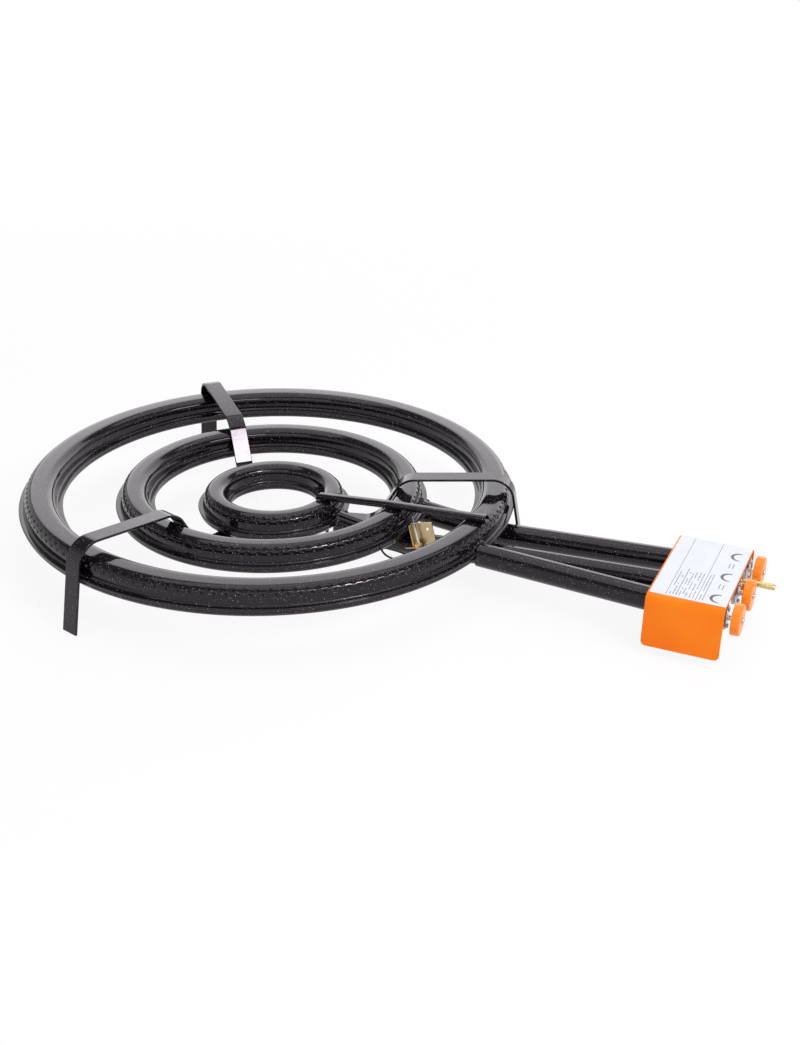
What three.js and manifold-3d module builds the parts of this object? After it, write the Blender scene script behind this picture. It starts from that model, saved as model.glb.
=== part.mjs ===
// Triple-ring gas burner on three legs, in millimetres with Z up.
// The rings share the Z axis. The feed tubes and the valve cover lie toward +X.
// Heights are above the floor that the three feet stand on.
import * as THREE from 'three';
import { mergeVertices } from 'three/addons/utils/BufferGeometryUtils.js';
import Module from 'manifold-3d';

const wasm = await Module();
wasm.setup();

// Gap between pieces that touch, and how far a cutting tool runs past a face
const fitGap = 0.3;
const cutOverrun = 2;

// Ring burners: a pressed cover crimped into a channel. The rings step down to the centre.
const innerRingRadius = 93;
const innerRingWidth = 40;
const innerRingDrop = 18.9;
const innerGap = 51;
const middleRingWidth = 46;
const middleRingDrop = 8.6;
const outerGap = 60;
const outerRingWidth = 50;
const outerRingHeight = 53.9;
const middleRingRadius = innerRingRadius + innerGap + middleRingWidth;
const outerRingRadius = middleRingRadius + outerGap + outerRingWidth;
const ringTotalHeight = 33.3;
const ringSheet = 1.2;
const channelDepth = 12.6;
const channelCornerWidth = 17;
const channelCornerHeight = 9.5;
const channelLip = 3.2;
const coverOuterInset = 7.4;
const coverInnerInset = 8;
const innerRingCoverInset = 5.5;
const coverCrownRadius = 10.4;
const outerRingSides = 48;
const middleRingSides = 36;
const innerRingSides = 28;
const crownSteps = 2;

// Supports: flat bars from the feet over the outer and middle rings to under the inner ring
const supportWidth = 22;
const supportThickness = 3;
const supportBendRadius = 25;
const supportRise = 18.8;
const supportToeRadius = 70;
const supportSplayAngle = 9.7;
const supportFallAngle = 4.46;
const supportDropAngle = 60;
const supportBendSteps = 6;
const rightSupportAngle = 16;
const rearSupportAngle = 136;
const leftSupportAngle = 253;

// Feed tubes: closed at the ring end, open at the mouth
const tubeRadius = 14.25;
const tubeWall = 1.5;
const tubeReach = 5;
const tubeSides = 16;
const tubePassGap = 0.45;
const tubeSidePassGap = 1.1;
const gasHoleRadius = 3.5;
const gasHoleRise = 7;
const outerTubeOffset = 43;
const outerTubeRise = 4.9;
const middleTubeOffset = 55;
const middleTubeRise = 1.9;
const middleTubeKinkInset = 31;
const middleTubeKinkOffset = 58;
const middleTubeKinkGap = 4.1;
const innerTubeRise = 3.4;
const innerTubePassInset = 4;
const tubeShoulderDrop = 5.5;
const mouthSpacing = 58.5;

// Flame bridge: a folded channel that lies on the three ring tops
const bridgeWidth = 12;
const bridgeHeight = 7;
const bridgeSheet = 1.2;
const bridgeStartInset = 3.5;
const bridgeEndInset = 1.6;
const bridgeEndChamfer = 3;
const bridgeOffset = 1;
const bridgeTurnAngle = 2.8;

// Valve cover: a folded sheet, open in front, behind and below
const coverReach = 203;
const coverLength = 90;
const coverRise = 20.5;
const coverHeight = 62;
const coverHalfWidth = 81;
const coverFlare = 5;
const coverSheet = 1.5;
const coverBendRadius = 7.5;
const coverCornerRadius = 6;
const coverBendSteps = 4;
const labelThickness = 0.3;
const labelGap = 0.1;
const labelBackMargin = 2;
const labelFrontMargin = 1;
const labelNearMargin = 8;
const labelFarMargin = 6;

// Carrier: a folded bracket under the cover that holds the tube mouths and the gas manifold
const carrierSheet = 1.5;
const carrierInset = 55;
const carrierLength = 23.7;
const carrierBendRadius = 3;
const carrierBackDepth = 37;
const carrierFrontDepth = 30;
const mouthReach = 8.5;

// Gas manifold: a drilled bar along Y with the taps on its front face
const tapDrop = 19;
const tapSpacing = 60;
const manifoldThickness = 12;
const manifoldHeight = 16;
const manifoldEndMargin = 1;
const galleryRadius = 3;
const portRadius = 4;
const spigotRadius = 3.6;
const spigotLength = 6;
const plugHeadRadius = 5;
const plugHeadLength = 3;
const plugShankLength = 6;
const plateScrewRadius = 1.6;
const plateScrewHeadRadius = 3;
const plateScrewHeadLength = 2.2;
const plateScrewLength = 8;
const plateScrewOffset = 42;
const screwHoleRadius = 1.9;

// Injectors
const injectorHeadRadius = 6;
const injectorHeadLength = 5;
const injectorTipRadius = 2.5;
const injectorTipLength = 3.5;
const injectorBoreRadius = 0.8;
const injectorHoleRadius = 4.2;

// Taps: a bored body with ears, a cap held by two screws, a spindle and a knob
const tapFlangeSize = 20;
const tapFlangeLength = 3;
const tapBarrelRadius = 8;
const tapBarrelLength = 13;
const tapEarWidth = 15;
const tapEarHeight = 30;
const tapEarLength = 4;
const tapBoreRadius = 4.6;
const tapBoreFloor = 2;
const tapPassageRadius = 1.5;
const capThickness = 2.5;
const capHoleRadius = 3.4;
const capScrewOffset = 10.5;
const capScrewRadius = 1.5;
const capScrewHeadRadius = 2.6;
const capScrewHeadLength = 1.8;
const capScrewLength = 5.5;
const spindleRadius = 3;
const spindleFlatShare = 0.6;
const shoulderRadius = 4.2;
const pushTravel = 3;
const washerThickness = 1;
const knobRadius = 18.5;
const knobThickness = 10.5;
const knobStandoff = 6.5;
const knobChamfer = 1.2;
const knobRim = 3;
const knobWeb = 3;
const knobHubRadius = 6.5;
const knobScrewRadius = 1.4;
const knobScrewLength = 8;
const knobScrewHeadRadius = 3.2;
const knobScrewHeadLength = 2.2;

// Inlet fitting for the gas hose
const inletOffset = 30;
const inletPlainLength = 23.2;
const inletRadius = 3.6;
const inletBarbRise = 0.7;
const inletBarbPitch = 4;
const inletBarbs = 4;
const inletCollarRadius = 5.5;
const inletCollarLength = 10;
const inletBoreRadius = 2;
const inletNutRadius = 8;
const inletNutLength = 6;

// Flame sensor on its bracket beside the inner ring's feed tube, with its stiff lead.
// Bracket and rod lean together; their sizes are along the leaning bracket.
const sensorLeanAngle = 14;
const sensorRingGap = 15;
const sensorFootDrop = 5.6;
const bracketPlateLeft = 5;
const bracketPlateRight = 21.5;
const bracketPlateHeight = 28.5;
const bracketSheet = 1.2;
const bracketFlangeDepth = 9;
const bracketBendRadius = 1.8;
const bracketHoleRadius = 2;
const bracketHoleRight = 14;
const bracketHoleHeight = 20;
const bracketTabLeft = 15;
const bracketTabRight = 7;
const bracketTabDepth = 12;
const bracketLegLength = 10;
const bracketLegHalfWidth = 7;
const sensorRodRadius = 1.7;
const sensorRodHeight = 40;
const sensorTipRadius = 1;
const sensorTipLength = 9;
const sensorRodTail = 4;
const sensorRodRight = 2;
const sensorStandoff = 7;
const sensorNutRadius = 3.8;
const sensorNutLength = 4;
const leadRadius = 1.2;
const leadLoopSize = 40;
const leadPassGap = 7.75;
const leadPassDrop = 6.9;
const leadEntryInset = 7;
const leadSteps = 34;
const leadSides = 8;
const leadOffset = 30;
const leadNutRadius = 4.5;
const leadNutLength = 6;
const leadHoleRadius = 2.4;
const leadSeat = 3;

const roundSides = 20;
const smallSides = 10;
const arcSteps = 3;
const hexSides = 6;

// Finishes
const enamel = { color: 0x0e0e11, roughness: 0.18, metalness: 0.1 };
const orangePaint = { color: 0xf98712, roughness: 0.4, metalness: 0 };
const labelFilm = { color: 0xf1f2f6, roughness: 0.5, metalness: 0 };
const zincSteel = { color: 0xb4b6b8, roughness: 0.35, metalness: 0.9 };
const yellowZinc = { color: 0xbe965a, roughness: 0.4, metalness: 0.7 };
const brass = { color: 0xc9a55c, roughness: 0.3, metalness: 0.9 };
const castAluminium = { color: 0xa9abad, roughness: 0.5, metalness: 0.8 };
const sheathSteel = { color: 0xcfd0cf, roughness: 0.25, metalness: 0.9 };
const leadSleeve = { color: 0x17171a, roughness: 0.6, metalness: 0 };

const degrees = THREE.MathUtils.degToRad;

function piece(name, geometry, finish) {
  const mesh = new THREE.Mesh(geometry, new THREE.MeshStandardMaterial(finish));
  mesh.name = name;
  return mesh;
}

// Closed mesh to a solid that can be joined and cut, without its zero-area triangles
function solid(geometry) {
  const bare = geometry.clone();
  bare.deleteAttribute('normal');
  bare.deleteAttribute('uv');
  const merged = mergeVertices(bare);
  const corners = merged.getIndex().array;
  const kept = [];
  for (let i = 0; i < corners.length; i += 3) {
    const [a, b, c] = [corners[i], corners[i + 1], corners[i + 2]];
    if (a !== b && b !== c && c !== a) kept.push(a, b, c);
  }
  const vertProperties = new Float32Array(merged.getAttribute('position').array);
  const mesh = new wasm.Mesh({ numProp: 3, vertProperties, triVerts: new Uint32Array(kept) });
  return new wasm.Manifold(mesh);
}

function geometryOf(body) {
  const mesh = body.getMesh();
  const geometry = new THREE.BufferGeometry();
  geometry.setAttribute('position', new THREE.BufferAttribute(mesh.vertProperties, 3));
  geometry.setIndex(new THREE.BufferAttribute(mesh.triVerts, 1));
  geometry.computeVertexNormals();
  return geometry;
}

function cut(geometry, tools) {
  let body = solid(geometry);
  for (const tool of tools) body = body.subtract(solid(tool));
  return geometryOf(body);
}

function join(geometries) {
  let body = solid(geometries[0]);
  for (const other of geometries.slice(1)) body = body.add(solid(other));
  return geometryOf(body);
}

// Closed outline of [radius, height] points, counter-clockwise, turned about Z
function turnedAboutZ(outline, sides) {
  const points = outline.map(([radius, height]) => new THREE.Vector2(radius, height));
  points.push(points[0].clone());
  return new THREE.LatheGeometry(points, sides).rotateX(Math.PI / 2);
}

// Closed outline of [along, radius] points, counter-clockwise in (radius, along), turned about X
function turnedAboutX(outline, sides) {
  const points = outline.map(([along, radius]) => new THREE.Vector2(radius, along));
  if (outline[0][1] !== 0) points.push(points[0].clone());
  return new THREE.LatheGeometry(points, sides).rotateZ(-Math.PI / 2);
}

function rod(radius, from, to, sides) {
  return turnedAboutX([[from, 0], [from, radius], [to, radius], [to, 0]], sides);
}

function nut(radius, bore, from, to) {
  const hole = rod(bore, from - cutOverrun, to + cutOverrun, smallSides);
  return cut(rod(radius, from, to, hexSides), [hole]);
}

function block(from, to) {
  const size = to.map((value, axis) => value - from[axis]);
  const geometry = new THREE.BoxGeometry(...size);
  return geometry.translate(...from.map((value, axis) => value + size[axis] / 2));
}

// Shape drawn in the YZ plane, pushed along X between two places
function alongX(shape, from, to, curveSegments) {
  const geometry = new THREE.ExtrudeGeometry(shape, {
    depth: to - from,
    bevelEnabled: false,
    curveSegments,
  });
  const axes = new THREE.Matrix4().makeBasis(
    new THREE.Vector3(0, 1, 0),
    new THREE.Vector3(0, 0, 1),
    new THREE.Vector3(1, 0, 0),
  );
  return geometry.applyMatrix4(axes).translate(from, 0, 0);
}

// Shape drawn in the XZ plane, pushed along Y and centred on Y = 0
function acrossY(shape, width, curveSegments) {
  const geometry = new THREE.ExtrudeGeometry(shape, { depth: width, bevelEnabled: false, curveSegments });
  return geometry.translate(0, 0, -width / 2).rotateX(Math.PI / 2);
}

function leftOf(direction) {
  return new THREE.Vector2(-direction.y, direction.x);
}

function headingFrom(a, b) {
  return b.clone().sub(a).normalize();
}

// Places and left-hand normals along a bent sheet's middle line
function bentStations(corners, bendRadius, bendSteps) {
  const last = corners.length - 1;
  const stations = [{ at: corners[0], normal: leftOf(headingFrom(corners[0], corners[1])) }];
  for (let i = 1; i < last; i += 1) {
    const before = headingFrom(corners[i - 1], corners[i]);
    const after = headingFrom(corners[i], corners[i + 1]);
    const turn = Math.atan2(before.cross(after), before.dot(after));
    const side = Math.sign(turn);
    const setback = bendRadius * Math.tan(Math.abs(turn) / 2);
    const centre = corners[i].clone().addScaledVector(before, -setback);
    centre.addScaledVector(leftOf(before), side * bendRadius);
    for (let step = 0; step <= bendSteps; step += 1) {
      const normal = leftOf(before).rotateAround(new THREE.Vector2(), (turn * step) / bendSteps);
      stations.push({ at: centre.clone().addScaledVector(normal, -side * bendRadius), normal });
    }
  }
  stations.push({ at: corners[last], normal: leftOf(headingFrom(corners[last - 1], corners[last])) });
  return stations;
}

// Outline of a sheet of the given thickness bent along a line of corners
function bentSheet(corners, thickness, bendRadius, bendSteps) {
  const stations = bentStations(corners, bendRadius, bendSteps);
  const offset = ({ at, normal }, distance) => at.clone().addScaledVector(normal, distance);
  const leftSide = stations.map((station) => offset(station, thickness / 2));
  const rightSide = stations.map((station) => offset(station, -thickness / 2));
  return [...leftSide, ...rightSide.reverse()];
}

// Where the line through p along u meets the line through q along v
function meet(p, u, q, v) {
  const share = q.clone().sub(p).cross(v) / u.cross(v);
  return p.clone().addScaledVector(u, share);
}

// Line of straight runs, sampled exactly at its corners
class Route extends THREE.Curve {
  constructor(corners) {
    super();
    this.corners = corners;
    this.runs = corners.length - 1;
  }

  getPoint(t, target = new THREE.Vector3()) {
    const run = Math.min(Math.floor(t * this.runs), this.runs - 1);
    return target.lerpVectors(this.corners[run], this.corners[run + 1], t * this.runs - run);
  }

  getTangent(t, target = new THREE.Vector3()) {
    const corner = Math.round(t * this.runs);
    target.set(0, 0, 0);
    for (const run of [corner - 1, corner]) {
      if (run < 0 || run >= this.runs) continue;
      target.add(this.corners[run + 1].clone().sub(this.corners[run]).normalize());
    }
    return target.normalize();
  }

  getUtoTmapping(u) {
    return u;
  }
}

function circle(radius) {
  const shape = new THREE.Shape();
  shape.absarc(0, 0, radius, 0, 2 * Math.PI);
  return shape;
}

// An arc is drawn with twice the curve segments asked for
function roundBar(corners, radius) {
  return new THREE.ExtrudeGeometry(circle(radius), {
    steps: corners.length - 1,
    extrudePath: new Route(corners),
    curveSegments: tubeSides / 2,
  });
}

// Rings

const outerRing = {
  radius: outerRingRadius,
  width: outerRingWidth,
  bottom: outerRingHeight,
  innerInset: coverInnerInset,
  sides: outerRingSides,
};
const middleRing = {
  radius: middleRingRadius,
  width: middleRingWidth,
  bottom: outerRingHeight - middleRingDrop,
  innerInset: coverInnerInset,
  sides: middleRingSides,
};
const innerRing = {
  radius: innerRingRadius,
  width: innerRingWidth,
  bottom: outerRingHeight - innerRingDrop,
  innerInset: innerRingCoverInset,
  sides: innerRingSides,
};

// Quarter of an ellipse about a centre, from one angle to another, without its last point
function quarter(centre, width, height, fromAngle, toAngle) {
  const points = [];
  for (let step = 0; step < crownSteps; step += 1) {
    const angle = degrees(fromAngle + ((toAngle - fromAngle) * step) / crownSteps);
    points.push([centre[0] + width * Math.cos(angle), centre[1] + height * Math.sin(angle)]);
  }
  return points;
}

function ringChannel(ring) {
  const outside = ring.radius;
  const inside = ring.radius - ring.width;
  const rim = ring.bottom + channelDepth;
  const cornerTop = ring.bottom + channelCornerHeight;
  const outerCentre = [outside - channelCornerWidth, cornerTop];
  const innerCentre = [inside + channelCornerWidth, cornerTop];
  const cavityWidth = channelCornerWidth - ringSheet;
  const cavityHeight = channelCornerHeight - ringSheet;
  return turnedAboutZ([
    ...quarter(innerCentre, channelCornerWidth, channelCornerHeight, 180, 270),
    [innerCentre[0], ring.bottom],
    ...quarter(outerCentre, channelCornerWidth, channelCornerHeight, 270, 360),
    [outside, cornerTop],
    [outside, rim],
    [outside - channelLip, rim],
    [outside - channelLip, rim - ringSheet],
    [outside - ringSheet, rim - ringSheet],
    ...quarter(outerCentre, cavityWidth, cavityHeight, 360, 270),
    [outerCentre[0], ring.bottom + ringSheet],
    ...quarter(innerCentre, cavityWidth, cavityHeight, 270, 180),
    [inside + ringSheet, cornerTop],
    [inside + ringSheet, rim - ringSheet],
    [inside + channelLip, rim - ringSheet],
    [inside + channelLip, rim],
    [inside, rim],
  ], ring.sides);
}

function ringCover(ring) {
  const outside = ring.radius - coverOuterInset;
  const inside = ring.radius - ring.width + ring.innerInset;
  const top = ring.bottom + ringTotalHeight;
  const flangeTop = ring.bottom + channelDepth - ringSheet - fitGap;
  const flangeBottom = flangeTop - ringSheet;
  const flangeOutside = ring.radius - ringSheet - fitGap;
  const flangeInside = ring.radius - ring.width + ringSheet + fitGap;
  const crownHeight = top - coverCrownRadius;
  const outerCentre = [outside - coverCrownRadius, crownHeight];
  const innerCentre = [inside + coverCrownRadius, crownHeight];
  const cavityRadius = coverCrownRadius - ringSheet;
  return turnedAboutZ([
    [flangeOutside, flangeBottom],
    [flangeOutside, flangeTop],
    [outside, flangeTop],
    ...quarter(outerCentre, coverCrownRadius, coverCrownRadius, 0, 90),
    [outerCentre[0], top],
    ...quarter(innerCentre, coverCrownRadius, coverCrownRadius, 90, 180),
    [inside, crownHeight],
    [inside, flangeTop],
    [flangeInside, flangeTop],
    [flangeInside, flangeBottom],
    [inside + ringSheet, flangeBottom],
    ...quarter(innerCentre, cavityRadius, cavityRadius, 180, 90),
    [innerCentre[0], top - ringSheet],
    ...quarter(outerCentre, cavityRadius, cavityRadius, 90, 0),
    [outside - ringSheet, crownHeight],
    [outside - ringSheet, flangeBottom],
  ], ring.sides);
}

// Solid outline of a whole ring with a gap round it, for shaping what meets the ring
function ringEnvelope(ring) {
  const outside = ring.radius + fitGap;
  const inside = ring.radius - ring.width - fitGap;
  const bottom = ring.bottom - fitGap;
  const rim = ring.bottom + channelDepth + fitGap;
  const top = ring.bottom + ringTotalHeight + fitGap;
  const cornerTop = ring.bottom + channelCornerHeight;
  const outerCentre = [outside - channelCornerWidth, cornerTop];
  const cornerHeight = cornerTop - bottom;
  return turnedAboutZ([
    [inside, bottom],
    ...quarter(outerCentre, channelCornerWidth, cornerHeight, 270, 360),
    [outside, cornerTop],
    [outside, rim],
    [ring.radius - coverOuterInset + fitGap, rim],
    [ring.radius - coverOuterInset + fitGap, top],
    [inside, top],
  ], ring.sides);
}

// Hole through the channel's outer wall where a feed tube meets the ring
function gasHole(ring, offset) {
  const edge = Math.sqrt(ring.radius ** 2 - offset ** 2);
  const hole = rod(gasHoleRadius, edge - channelCornerWidth / 2, edge + cutOverrun, smallSides);
  return hole.translate(0, offset, ring.bottom + gasHoleRise);
}

// Supports

const supportTop = outerRing.bottom + ringTotalHeight + supportRise;

function supportShape() {
  const half = supportThickness / 2;
  const splay = degrees(supportSplayAngle);
  const fall = degrees(supportFallAngle);
  const drop = degrees(supportDropAngle);
  const legUp = new THREE.Vector2(-Math.sin(splay), Math.cos(splay));
  const topIn = new THREE.Vector2(-Math.cos(fall), -Math.sin(fall));
  const dropDown = new THREE.Vector2(-Math.cos(drop), -Math.sin(drop));
  const level = new THREE.Vector2(-1, 0);
  const outerRim = new THREE.Vector2(
    outerRingRadius + fitGap + half / Math.cos(splay),
    outerRing.bottom + channelDepth,
  );
  // The bar is flat and the channel's wall is round, so the bar's edges meet the wall first
  const wall = (middleRingRadius - middleRingWidth) * Math.cos(Math.PI / middleRing.sides);
  const wallAtEdges = Math.sqrt(wall ** 2 - (supportWidth / 2) ** 2);
  const middleRim = new THREE.Vector2(
    wallAtEdges - fitGap - half / Math.sin(drop),
    middleRing.bottom + channelDepth,
  );
  const toe = new THREE.Vector2(supportToeRadius, innerRing.bottom - fitGap - half);
  const foot = outerRim.clone().addScaledVector(legUp, -outerRim.y / legUp.y);
  const topLevel = new THREE.Vector2(0, supportTop - half);
  const shoulder = meet(outerRim, legUp, topLevel, level);
  const knee = meet(shoulder, topIn, middleRim, dropDown);
  const heel = meet(middleRim, dropDown, toe, level);
  const corners = [foot, shoulder, knee, heel, toe];
  const outline = bentSheet(corners, supportThickness, supportBendRadius, supportBendSteps);
  for (const end of [outline[0], outline[outline.length - 1]]) {
    end.addScaledVector(legUp, -end.y / legUp.y);
  }
  return new THREE.Shape(outline);
}

function support(name, azimuth) {
  const mesh = piece(name, acrossY(supportShape(), supportWidth), enamel);
  mesh.rotation.z = degrees(azimuth);
  return mesh;
}

// The cover stands off the outer ring, the carrier off the cover's front, the taps off its top

const coverTop = outerRing.bottom + coverRise;
const coverBottom = coverTop - coverHeight;
const tapHeight = coverTop - tapDrop;
const coverBack = outerRingRadius + coverReach;
const coverFront = coverBack + coverLength;
const carrierBack = coverFront - carrierInset;
const carrierFront = carrierBack + carrierLength;

// Feed tubes, from the closed end under the ring's edge to the mouth in the cover

const mouth = carrierBack + carrierSheet + mouthReach;
const tubeShoulder = coverBack - mouthReach / 2;

function ringEnd(ring, offset, rise) {
  const edge = Math.sqrt(ring.radius ** 2 - offset ** 2);
  return new THREE.Vector3(edge - tubeReach, offset, ring.bottom + rise);
}

const outerTubeRoute = [
  ringEnd(outerRing, -outerTubeOffset, outerTubeRise),
  new THREE.Vector3(mouth, -mouthSpacing, tapHeight),
];
const middleTubeRoute = [
  ringEnd(middleRing, middleTubeOffset, middleTubeRise),
  new THREE.Vector3(
    outerRingRadius - middleTubeKinkInset,
    middleTubeKinkOffset,
    outerRing.bottom - tubeRadius - middleTubeKinkGap,
  ),
  new THREE.Vector3(tubeShoulder, mouthSpacing, outerRing.bottom - tubeShoulderDrop),
  new THREE.Vector3(mouth, mouthSpacing, tapHeight),
];
const innerTubeRoute = [
  ringEnd(innerRing, 0, innerTubeRise),
  new THREE.Vector3(
    middleRingRadius - middleRingWidth - innerTubePassInset,
    0,
    middleRing.bottom - tubeRadius - tubePassGap,
  ),
  new THREE.Vector3(middleRingRadius, 0, middleRing.bottom - tubeRadius - tubePassGap),
  new THREE.Vector3(outerRingRadius, 0, outerRing.bottom - tubeRadius - tubeSidePassGap),
  new THREE.Vector3(tubeShoulder, 0, outerRing.bottom - tubeShoulderDrop),
  new THREE.Vector3(mouth, 0, tapHeight),
];

// Route moved along its own ends: in at the ring end, out at the mouth
function boreRoute(route) {
  const corners = route.map((corner) => corner.clone());
  const last = corners.length - 1;
  const inward = route[1].clone().sub(route[0]).normalize();
  const outward = route[last].clone().sub(route[last - 1]).normalize();
  corners[0].addScaledVector(inward, tubeWall);
  corners[last].addScaledVector(outward, cutOverrun);
  return corners;
}

function feedTube(route, ring) {
  const bore = roundBar(boreRoute(route), tubeRadius - tubeWall);
  return cut(roundBar(route, tubeRadius), [bore, ringEnvelope(ring)]);
}

// Flame bridge

function bridgeShape(lift, height, chamfer, overrun) {
  const contact = (ring) => ({
    radius: ring.radius - ring.width + ring.innerInset + coverCrownRadius,
    height: ring.bottom + ringTotalHeight + fitGap,
  });
  const inner = contact(innerRing);
  const middle = contact(middleRing);
  const outer = contact(outerRing);
  const heightOn = (a, b, radius) => (
    a.height + ((b.height - a.height) * (radius - a.radius)) / (b.radius - a.radius)
  );
  const start = innerRingRadius - innerRingWidth + innerRingCoverInset + bridgeStartInset - overrun;
  const end = outerRingRadius - coverOuterInset - bridgeEndInset + overrun;
  const startHeight = heightOn(inner, middle, start) + lift;
  const endHeight = heightOn(middle, outer, end) + lift;
  const middleHeight = middle.height + lift;
  return new THREE.Shape([
    new THREE.Vector2(start, startHeight),
    new THREE.Vector2(middle.radius, middleHeight),
    new THREE.Vector2(end, endHeight),
    new THREE.Vector2(end - chamfer, endHeight + height),
    new THREE.Vector2(middle.radius, middleHeight + height),
    new THREE.Vector2(start + chamfer, startHeight + height),
  ]);
}

function flameBridge() {
  const outside = acrossY(bridgeShape(0, bridgeHeight, bridgeEndChamfer, 0), bridgeWidth);
  const insideShape = bridgeShape(-cutOverrun, bridgeHeight - bridgeSheet + cutOverrun, 0, cutOverrun);
  const inside = acrossY(insideShape, bridgeWidth - 2 * bridgeSheet);
  const mesh = piece('flame_bridge', cut(outside, [inside]), enamel);
  mesh.rotation.z = -degrees(bridgeTurnAngle);
  mesh.position.y = -bridgeOffset;
  return mesh;
}

// Valve cover and label

function valveCover() {
  const half = coverSheet / 2;
  const top = coverTop - half;
  const edge = coverHalfWidth - half;
  const foot = edge + coverFlare;
  const corners = [
    new THREE.Vector2(foot, coverBottom),
    new THREE.Vector2(edge, top),
    new THREE.Vector2(-edge, top),
    new THREE.Vector2(-foot, coverBottom),
  ];
  const section = bentSheet(corners, coverSheet, coverBendRadius, coverBendSteps);
  const sheet = alongX(new THREE.Shape(section), coverBack, coverFront);
  const side = new THREE.Shape();
  side.moveTo(coverBack, coverTop + cutOverrun);
  side.lineTo(coverBack, coverBottom + coverCornerRadius);
  side.absarc(
    coverBack + coverCornerRadius,
    coverBottom + coverCornerRadius,
    coverCornerRadius,
    Math.PI,
    1.5 * Math.PI,
  );
  side.absarc(
    coverFront - coverCornerRadius,
    coverBottom + coverCornerRadius,
    coverCornerRadius,
    1.5 * Math.PI,
    2 * Math.PI,
  );
  side.lineTo(coverFront, coverTop + cutOverrun);
  const sideWidth = 2 * (coverHalfWidth + coverFlare + cutOverrun);
  return geometryOf(solid(sheet).intersect(solid(acrossY(side, sideWidth, arcSteps))));
}

function label() {
  const bottom = coverTop + labelGap;
  return block(
    [coverBack + labelBackMargin, -coverHalfWidth + labelNearMargin, bottom],
    [coverFront - labelFrontMargin, coverHalfWidth - labelFarMargin, bottom + labelThickness],
  );
}

// Carrier with its holes for the tube mouths, the injectors, the lead and the screws

const manifoldBack = carrierFront + fitGap;
const manifoldFront = manifoldBack + manifoldThickness;
const carrierHalfWidth = coverHalfWidth - coverSheet - coverBendRadius;
const taps = { outer: -tapSpacing, inner: 0, middle: tapSpacing };

function valveCarrier() {
  const half = carrierSheet / 2;
  const top = coverTop - coverSheet - fitGap - half;
  const corners = [
    new THREE.Vector2(carrierBack + half, top - carrierBackDepth),
    new THREE.Vector2(carrierBack + half, top),
    new THREE.Vector2(carrierFront - half, top),
    new THREE.Vector2(carrierFront - half, top - carrierFrontDepth),
  ];
  const section = bentSheet(corners, carrierSheet, carrierBendRadius, supportBendSteps);
  const sheet = acrossY(new THREE.Shape(section), 2 * carrierHalfWidth);
  const frontFrom = carrierFront - carrierSheet - cutOverrun;
  const frontTo = carrierFront + cutOverrun;
  const backFrom = carrierBack - cutOverrun;
  const backTo = carrierBack + carrierSheet + cutOverrun;
  const injectorHole = (offset) => (
    rod(injectorHoleRadius, frontFrom, frontTo, smallSides).translate(0, offset, tapHeight)
  );
  const screwHole = (offset) => (
    rod(screwHoleRadius, frontFrom, frontTo, smallSides).translate(0, offset, tapHeight)
  );
  const leadHole = (from, to) => (
    rod(leadHoleRadius, from, to, smallSides).translate(0, -leadOffset, tapHeight)
  );
  return cut(sheet, [
    ...[outerTubeRoute, middleTubeRoute, innerTubeRoute].map((route) => (
      roundBar(route.slice(-2), tubeRadius + fitGap)
    )),
    ...Object.values(taps).map(injectorHole),
    screwHole(-plateScrewOffset),
    screwHole(plateScrewOffset),
    leadHole(backFrom, backTo),
    leadHole(frontFrom, frontTo),
  ]);
}

// Gas manifold, its end plug and its two screws

const manifoldHalfWidth = carrierHalfWidth - manifoldEndMargin;

function alongYRod(radius, from, to, sides) {
  return rod(radius, from, to, sides).rotateZ(Math.PI / 2);
}

function gasManifold() {
  const bar = block(
    [manifoldBack, -manifoldHalfWidth, tapHeight - manifoldHeight / 2],
    [manifoldFront, manifoldHalfWidth, tapHeight + manifoldHeight / 2],
  );
  const middle = (manifoldBack + manifoldFront) / 2;
  const gallery = alongYRod(galleryRadius, -manifoldHalfWidth - cutOverrun, tapSpacing, smallSides);
  const port = (offset) => (
    rod(portRadius, manifoldBack - cutOverrun, manifoldFront + cutOverrun, smallSides)
      .translate(0, offset, tapHeight)
  );
  const screwHole = (offset) => (
    rod(screwHoleRadius, manifoldBack - cutOverrun, manifoldBack + plateScrewLength, smallSides)
      .translate(0, offset, tapHeight)
  );
  const inletPort = rod(portRadius, middle, manifoldFront + cutOverrun, smallSides);
  return cut(bar, [
    gallery.translate(middle, 0, tapHeight),
    ...Object.values(taps).map(port),
    screwHole(-plateScrewOffset),
    screwHole(plateScrewOffset),
    inletPort.translate(0, inletOffset, tapHeight),
  ]);
}

function manifoldPlug() {
  const face = manifoldHalfWidth + fitGap;
  const outline = [
    [face - fitGap - plugShankLength, 0],
    [face - fitGap - plugShankLength, galleryRadius - fitGap],
    [face, galleryRadius - fitGap],
    [face, plugHeadRadius],
    [face + plugHeadLength, plugHeadRadius],
    [face + plugHeadLength, 0],
  ];
  const plug = turnedAboutX(outline, smallSides).rotateZ(-Math.PI / 2);
  return plug.translate((manifoldBack + manifoldFront) / 2, 0, tapHeight);
}

// Screw along X whose head's underside is at zero: the shank runs toward +X
function screw(radius, length, headRadius, headLength) {
  return turnedAboutX([
    [-headLength, 0],
    [-headLength, headRadius],
    [0, headRadius],
    [0, radius],
    [length, radius],
    [length, 0],
  ], smallSides);
}

function plateScrew(name, offset) {
  const geometry = screw(plateScrewRadius, plateScrewLength, plateScrewHeadRadius, plateScrewHeadLength);
  const mesh = piece(name, geometry, zincSteel);
  mesh.position.set(carrierFront - carrierSheet - fitGap, offset, tapHeight);
  return mesh;
}

// Tap group: everything lies on an axis along X, at its real place along X

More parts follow.
